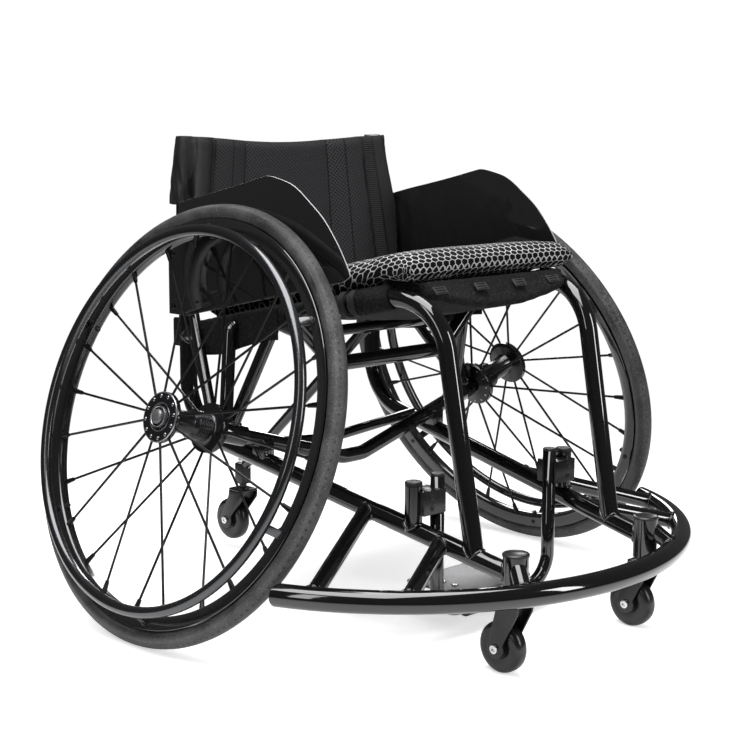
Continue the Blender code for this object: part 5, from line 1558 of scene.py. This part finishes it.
def smoothed(points, parts=4):
    """More points on a smooth curve through the given ones."""
    path = []
    for index in range(len(points) - 1):
        a = Vector(points[max(index - 1, 0)])
        b, c = Vector(points[index]), Vector(points[index + 1])
        d = Vector(points[min(index + 2, len(points) - 1)])
        for part in range(parts):
            t = part / parts
            cubic = (3 * b - a - 3 * c + d) * t ** 3
            path.append(tuple(0.5 * (2 * b + (c - a) * t + (2 * a - 5 * b + 4 * c - d) * t * t + cubic)))
    path.append(tuple(points[-1]))
    return path


# Soft goods


def clamped(share):
    return min(1.0, max(0.0, share))


def sag_at(y, cloth):
    """How far the sling hangs at a distance y."""
    return cloth.sag_rear + (cloth.sag_front - cloth.sag_rear) * clamped((0.015 - y) / 0.154)


def sling_line(y, radius, cloth):
    """Half of the sling's section from its wrap over the left rail to the middle."""
    rail = rail_at(y)
    sag = sag_at(y, cloth)
    lean = math.atan2(2 * sag, rail.x)
    points = arc((rail.x, rail.z), radius, 8, 90 + math.degrees(lean), WRAP_PARTS)
    edge_x, edge_z = points[-1]
    for part in range(1, SPAN_PARTS + 1):
        share = part / SPAN_PARTS
        points.append((edge_x * (1 - share), edge_z - sag * (1 - (1 - share) ** 2)))
    return points


def sling_top(x, y, cloth):
    """Height of the sling's upper side, with a little room over it."""
    half = sling_line(y, 0.0156, cloth)
    reach = abs(x)
    if reach > half[WRAP_PARTS][0]:
        return max(z for _, z in half)
    for (x1, z1), (x2, z2) in zip(half, half[1:]):
        if x2 <= reach <= x1:
            return z2 + (z1 - z2) * (reach - x2) / (x1 - x2)
    return half[-1][1]


def lip_top(x, y, cloth):
    """Height of the front lip's fold, which rises to the front and to both sides."""
    share = (SEAT_FRONT_Y - y) / (SEAT_FRONT_Y - LIP_FRONT_Y)
    return sling_top(0, SEAT_FRONT_Y, cloth) + 0.014 * share + 0.020 * (x / LIP_HALF) ** 2


def laid_grid(columns, rows, place):
    """A grid whose points a function lays out from (u, v) in 0 to 1, with its cloth map kept."""
    shape = bmesh.new()
    bmesh.ops.create_grid(shape, x_segments=columns, y_segments=rows, size=0.5)
    for vert in shape.verts:
        vert.co = place(vert.co.x + 0.5, vert.co.y + 0.5)
    return shape


def map_cloth(made, flat):
    """Keep each point's place on the flat cloth, in metres, for the weave."""
    layer = made.data.attributes.new("cloth_map", "FLOAT_VECTOR", "POINT")
    for index, vert in enumerate(made.data.vertices):
        layer.data[index].vector = flat(vert)


def walk(points, share):
    """The point at a share of a line's length."""
    lengths = [0.0]
    for first, second in zip(points, points[1:]):
        lengths.append(lengths[-1] + math.dist(first, second))
    want = share * lengths[-1]
    index = 0
    while want > lengths[index + 1] and index < len(points) - 2:
        index += 1
    t = (want - lengths[index]) / (lengths[index + 1] - lengths[index])
    return tuple(a + (b - a) * t for a, b in zip(points[index], points[index + 1]))


class WHEELCHAIR_OT_sling(Build, bpy.types.Operator):
    """Make the seat sling over the rails and its front lip"""

    bl_idname = "wheelchair.sling"
    bl_label = "Seat sling"

    def execute(self, context):
        cloth = context.scene.chair_cloth

        def lay(u, v):
            y = SEAT_REAR_Y + (SEAT_FRONT_Y - SEAT_REAR_Y) * v
            side = 1 if u >= 0.5 else -1
            inward = 1 - abs(u - 0.5) * 2
            x, z = walk(sling_line(y, 0.0136, cloth), inward)
            ripple = 0.0012 * math.sin(x * 90 + y * 30) * math.sin(y * 70)
            return (side * x, y, z + ripple * inward)

        made = settle("sling_sheet", laid_grid(56, 40, lay), "sling", "frame", "seat_sling", 60)
        map_cloth(made, lambda vert: (vert.co.x, vert.co.y, 0))
        thicken(made, 0.002, 1)
        self.lip(cloth)
        return {"FINISHED"}

    def lip(self, cloth):
        """Cloth that runs forward under the cushion, folds and rises over its front."""
        fold_plan = smoothed([
            (0, -0.299), (0.118, -0.299), (0.1335, -0.290), (0.142, -0.256), (0.1455, -0.232),
        ])
        top_plan = smoothed([
            (0, -0.276), (0.130, -0.276), (0.144, -0.268), (0.150, -0.248), (0.153, -0.232),
        ])

        def lay(u, v):
            side = 1 if u >= 0.5 else -1
            share = abs(u - 0.5) * 2
            x, y = walk(fold_plan, share)
            fold = Vector((side * x, y, lip_top(x, min(y, SEAT_FRONT_Y), cloth) - 0.0022))
            x, y = walk(top_plan, share)
            crest = Vector((side * x, y, FACE_TOP - 0.0002))
            back = Vector((side * 0.146 * share, SEAT_FRONT_Y + 0.006, 0))
            back.z = lip_top(back.x, SEAT_FRONT_Y, cloth) - 0.0022
            place = Vector(walk(rounded([back, fold, crest], [0.005], math.radians(12)), v))
            folds = math.sin(place.x * 95 + 1.0) + 0.6 * math.sin(place.x * 230 + v * 4)
            place.y += 0.0011 * folds * math.sin(math.pi * v) * (1 - share ** 4)
            return place

        made = settle("sling_front_lip", laid_grid(96, 34, lay), "fuzzy", "frame", sharp=60)
        map_cloth(made, lambda vert: (vert.co.x, vert.co.y - vert.co.z, 0))
        thicken(made, 0.004)


class WHEELCHAIR_OT_cushion(Build, bpy.types.Operator):
    """Make the seat cushion, stuffed by a short cloth simulation, in its net cover"""

    bl_idname = "wheelchair.cushion"
    bl_label = "Seat cushion"

    def execute(self, context):
        cloth = context.scene.chair_cloth
        shape = bmesh.new()
        bmesh.ops.create_cube(shape, size=2.0)
        bmesh.ops.subdivide_edges(shape, edges=list(shape.edges), cuts=23, use_grid_fill=True)
        for vert in shape.verts:
            vert.co = self.lay(vert.co, cloth)
        made = settle("cushion_stuffed", shape, "net", "cushion", "seat_cushion", 70)
        made.parent = None
        stuff(made, cloth.cushion_swell)
        smooth = made.modifiers.new("smooth", "SUBSURF")
        smooth.levels = 1
        smooth.render_levels = 1

        def unrolled(vert):
            drop = max(0.0, crown(vert.co.y - AXLE_Y, cloth) - vert.co.z)
            return (vert.co.x + drop * vert.normal.x, vert.co.y + drop * vert.normal.y, 0)

        map_cloth(made, unrolled)
        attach(made, "cushion")
        return {"FINISHED"}

    def lay(self, place, cloth):
        """Turn a point of a cube into one of the crowned cushion with a rolled front."""
        u, v, w = place
        length = (CUSHION_REAR_Y - CUSHION_FRONT_Y) / 2
        y = CUSHION_FRONT_Y + length + v * length
        share = (CUSHION_REAR_Y - y) / (2 * length)
        half = CUSHION_REAR_HALF + (CUSHION_FRONT_HALF - CUSHION_REAR_HALF) * share
        x = u * half
        top = crown(y, cloth) - 0.006 * abs(u) ** 4
        floor = sling_top(x, max(y, SEAT_FRONT_Y), cloth) + 0.0012
        lift = clamped((SEAT_FRONT_Y + 0.036 - y) / 0.036)
        floor += (max(floor, FACE_TOP + 0.0014) - floor) * lift
        middle = (top + floor) / 2
        thick = (top - floor) / 2
        round_side = edge_round((1 - abs(u)) * half, 0.013)
        front = edge_round(y - CUSHION_FRONT_Y, 0.014)
        rear = edge_round(CUSHION_REAR_Y - y, 0.014)
        return Vector((x, y, middle + w * thick * round_side * min(front, rear)))


def edge_round(inset, radius):
    """Share of the full thickness at a distance in from a rounded edge."""
    if inset >= radius:
        return 1.0
    share = 1 - inset / radius
    return 0.35 + 0.65 * math.sqrt(max(0.0, 1 - share * share))


def crown(y, cloth):
    """Height of the cushion's top along its middle."""
    return rail_at(max(y, SEAT_FRONT_Y)).z + 0.0149 + cloth.cushion_rise + 0.05 * max(0.0, SEAT_FRONT_Y - y)


def stuff(made, cap, pressure=4.0, voxel=0.005, frames=20):
    """Swell a closed piece with a short cloth simulation, each point moving a capped way and never down."""
    scene = bpy.context.scene
    remesh = made.modifiers.new("remesh", "REMESH")
    remesh.mode = "VOXEL"
    remesh.voxel_size = voxel
    remesh.use_smooth_shade = True
    bake(made)
    before = [vert.co.copy() for vert in made.data.vertices]
    cloth = made.modifiers.new("cloth", "CLOTH")
    cloth.settings.use_pressure = True
    cloth.settings.uniform_pressure_force = pressure
    cloth.settings.effector_weights.gravity = 0
    cloth.point_cache.frame_start = 1
    cloth.point_cache.frame_end = frames
    for step in range(1, frames + 1):
        scene.frame_set(step)
    bake(made)
    scene.frame_set(1)
    for index, vert in enumerate(made.data.vertices):
        move = vert.co - before[index]
        move.z = max(move.z, 0.0)
        if move.length > cap:
            move = move.normalized() * cap
        vert.co = before[index] + move
    made.data.shade_smooth()


def bake(made):
    """Keep what the modifiers make, and drop them."""
    graph = bpy.context.evaluated_depsgraph_get()
    mesh = bpy.data.meshes.new_from_object(made.evaluated_get(graph))
    made.modifiers.clear()
    old = made.data
    made.data = mesh
    bpy.data.meshes.remove(old)


class WHEELCHAIR_OT_backrest(Build, bpy.types.Operator):
    """Make the padded back, dished between the posts, with its satin flaps"""

    bl_idname = "wheelchair.backrest"
    bl_label = "Back"

    def execute(self, context):
        cloth = context.scene.chair_cloth

        def lay(u, v):
            return walk(self.ring(BACK_BASE + (BACK_TOP - BACK_BASE) * v, cloth.back_dish), u)

        shape = laid_grid(280, 46, lay)
        bmesh.ops.remove_doubles(shape, verts=shape.verts, dist=0.00001)
        rims = [edge for edge in shape.edges if edge.is_boundary]
        bmesh.ops.holes_fill(shape, edges=rims, sides=0)
        bmesh.ops.triangulate(shape, faces=[face for face in shape.faces if len(face.verts) > 4])
        made = settle("back_padded", shape, "back", "frame", "back_upholstery", 50)
        map_cloth(made, lambda vert: (vert.co.x / spread_at(vert.co.z), vert.co.z, 0))
        for side, end in SIDES:
            self.flap(side, end)
        return {"FINISHED"}

    def flap(self, side, end):
        """Satin sleeve that hangs open round the top of an upright."""
        heights = [
            (BACK_TOP, 0.0105), (0.668, 0.0128), (0.655, 0.0152), (0.640, 0.0166), (0.600, 0.0196),
            (0.575, 0.0212),
        ]

        def lay(u, v):
            z, radius = walk(heights, v)
            angle = math.radians(-112 + 265 * u)
            loose = max(0.0, (0.655 - z) / 0.08)
            radius += 0.0011 * loose * (math.sin(4.2 * angle + z * 70) + 0.8 * math.sin(9 * angle - z * 150))
            x = UPRIGHT.x + 0.0025 * loose + radius * math.cos(angle)
            return (side * x, UPRIGHT.y + radius * math.sin(angle), z)

        made = settle("back_flap_" + end, laid_grid(54, 34, lay), "flap", "frame", sharp=60)
        map_cloth(made, lambda vert: (vert.co.x + vert.co.y, vert.co.z, 0))
        thicken(made, 0.0016)

    def ring(self, z, dish):
        """The section at one height, as a closed line that starts at the front's middle."""
        rise = (z - BACK_BASE) / (BACK_TOP - BACK_BASE)
        low = lowered(z)
        hem = 0.003 * (1 - min(1.0, min(rise, 1 - rise) / 0.03))
        dip = 0.010 * clamped((z - 0.56) / 0.055) * clamped((z - 0.58) / 0.08)

        def front(x):
            share = abs(x) / BACK_HALF
            return 0.121 + dish * (1 - share ** 2) - puff(abs(x) / spread_at(z)) - 0.006 * low * share ** 4

        def level(x):
            return z - dip * (1 - (x / BACK_HALF) ** 2) ** 2

        half = []
        for part in range(60):
            x = (UPRIGHT.x + 0.006 + 0.011 * low) * part / 60
            half.append((x, front(x) + hem, level(x)))
        half += [(x, y, z) for x, y in arc(UPRIGHT, 0.0148 - hem * 0.5, -52, 138, 12)]
        for part in range(24):
            x = (UPRIGHT.x - 0.021) * (1 - part / 23)
            half.append((x, max(front(x) + 0.014 - hem, 0.0), level(x)))
        other = [(-x, y, height) for x, y, height in half[::-1]]
        return half + other[1:-1] + [half[0]]


def lowered(z):
    """0 at the back's top and 1 over its lower half."""
    share = clamped((BACK_FLARE_Z - z) / 0.10)
    return share * share * (3 - 2 * share)


def spread_at(z):
    """How much further apart the back's seams are at a height than at its top."""
    return 1 + 0.20 * clamped((BACK_FLARE_Z - z) / 0.22)


def puff(reach):
    """How far the back's stuffing stands out between its seams, at a distance from the middle."""
    inner = -BACK_SEAMS[0]
    for outer, height in zip(BACK_SEAMS, (0.009, 0.008, 0.011)):
        if reach <= outer:
            share = (2 * reach - inner - outer) / (outer - inner)
            return height * math.sqrt(max(0.0, 1 - share * share))
        inner = outer
    return 0.0


class WHEELCHAIR_OT_fittings(Build, bpy.types.Operator):
    """Add the rails' cloth wraps, skirts and straps, and the slotted plates on the uprights"""

    bl_idname = "wheelchair.fittings"
    bl_label = "Fittings"

    def execute(self, context):
        for side, end in SIDES:
            self.wrap(side, end)
            self.skirt(side, end)
            self.plate(side, end)
        self.straps()
        return {"FINISHED"}

    def wrap(self, side, end):
        """Fuzzy patches closed round the rail, and two webbing loops."""

        def sleeve(first, last, radius, count=14):
            steps = range(count + 1)
            path = [flipped(rail_at(first + (last - first) * part / count), side) for part in steps]
            swell = [1 - 0.06 * (part in (0, count)) + 0.02 * math.sin(part * 1.7) for part in steps]
            return bar(path, radius, 12, False, swell)

        shape = sleeve(-0.194, -0.2415, 0.0178)
        absorb(shape, sleeve(0.118, -0.078, 0.0172, 40))
        for first in (-0.166, -0.182):
            absorb(shape, sleeve(first, first - 0.009, 0.0182, 5), 1)
        made = settle("rail_wrap_" + end, shape, "fuzzy webbing", "frame", sharp=50)
        map_cloth(made, lambda vert: (vert.co.y, vert.co.x + vert.co.z, 0))

    def skirt(self, side, end):
        """Cloth that hangs outside the rail, down past it."""

        def lay(u, v):
            y = 0.116 - 0.186 * u
            rail = rail_at(y)
            waves = 0.0016 * math.sin(y * 110) + 0.0010 * math.sin(y * 260 + 1)
            drop = 0.034 + 0.004 * math.sin(y * 37)
            return (side * (rail.x + 0.0186 + waves * v), y, rail.z + 0.014 - (0.014 + drop) * v)

        made = settle("seat_skirt_" + end, laid_grid(60, 12, lay), "fuzzy", "frame", sharp=60)
        map_cloth(made, lambda vert: (vert.co.y, vert.co.z, 0))
        thicken(made, 0.0022)

    def plate(self, side, end):
        """Slotted plate behind the upright."""
        outline = []
        corners = ((0.180, 0.403), (0.166, 0.403), (0.166, 0.369), (0.180, 0.369))
        for part, centre in enumerate(corners):
            outline += arc(centre, 0.004, 90 * part, 90 * part + 90, 4)
        low = side * UPRIGHT.x - 0.0015
        shape = slab(outline, low, low + 0.003, "X", 0.0005, 2)
        for z in (0.374, 0.386, 0.398):
            screw(shape, Vector((side * (UPRIGHT.x + 0.0015), 0.174, z)), (side, 0, 0), 0.0036, 0.0008, 1)
        settle("upright_plate_" + end, shape, "clamp matte", "frame", sharp=35)

    def straps(self):
        """Webbing tabs on the sling's front face."""
        shape = bmesh.new()
        lean = Matrix.Rotation(math.radians(-43), 4, "X")
        for x in (-0.122, -0.042, 0.036, 0.108):
            place = Matrix.Translation((x, -0.2905, 0.4788)) @ lean
            absorb(shape, solid_block((0.024, 0.0016, 0.012), place, 0.0007, 3))
            for low in (-0.004, 0, 0.004):
                line = place @ Matrix.Translation((0, 0, low))
                absorb(shape, solid_block((0.018, 0.0034, 0.0018), line, 0.0007, 2), 1)
        made = settle("front_straps", shape, "webbing flap", "frame", sharp=50)
        map_cloth(made, lambda vert: (vert.co.x, vert.co.z - vert.co.y, 0))


class WHEELCHAIR_PT_panel(bpy.types.Panel):
    """Lists what builds the wheelchair"""

    bl_idname = "WHEELCHAIR_PT_panel"
    bl_label = "Basketball Wheelchair"
    bl_space_type = "VIEW_3D"
    bl_region_type = "UI"
    bl_category = "Wheelchair"

    def draw(self, context):
        layout = self.layout
        for name in ("chair_wheels", "chair_cloth", "chair_colours"):
            group = getattr(context.scene, name)
            box = layout.box()
            for key in group.__annotations__:
                box.prop(group, key)
        for operator in OPERATORS:
            layout.operator(operator.bl_idname)


OPERATORS = (
    WHEELCHAIR_OT_stage,
    WHEELCHAIR_OT_tubes,
    WHEELCHAIR_OT_welds,
    WHEELCHAIR_OT_bumper,
    WHEELCHAIR_OT_tyres,
    WHEELCHAIR_OT_rims,
    WHEELCHAIR_OT_handrims,
    WHEELCHAIR_OT_hubs,
    WHEELCHAIR_OT_axles,
    WHEELCHAIR_OT_castors,
    WHEELCHAIR_OT_footrest,
    WHEELCHAIR_OT_guards,
    WHEELCHAIR_OT_sling,
    WHEELCHAIR_OT_cushion,
    WHEELCHAIR_OT_backrest,
    WHEELCHAIR_OT_fittings,
)
SETTINGS = {"chair_wheels": ChairWheels, "chair_cloth": ChairCloth, "chair_colours": ChairColours}


def register():
    """Add the settings, the operators and the panel."""
    for name, group in SETTINGS.items():
        bpy.utils.register_class(group)
        setattr(bpy.types.Scene, name, PointerProperty(type=group))
    for item in OPERATORS + (WHEELCHAIR_PT_panel,):
        bpy.utils.register_class(item)


def unregister():
    """Take the panel, the operators and the settings away."""
    for item in (WHEELCHAIR_PT_panel,) + OPERATORS[::-1]:
        bpy.utils.unregister_class(item)
    for name, group in SETTINGS.items():
        delattr(bpy.types.Scene, name)
        bpy.utils.unregister_class(group)


def main():
    """Build the dressed chair."""
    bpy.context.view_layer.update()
    register()
    for operator in OPERATORS:
        family, name = operator.bl_idname.split(".")
        getattr(getattr(bpy.ops, family), name)()


if __name__ == "__main__":
    main()
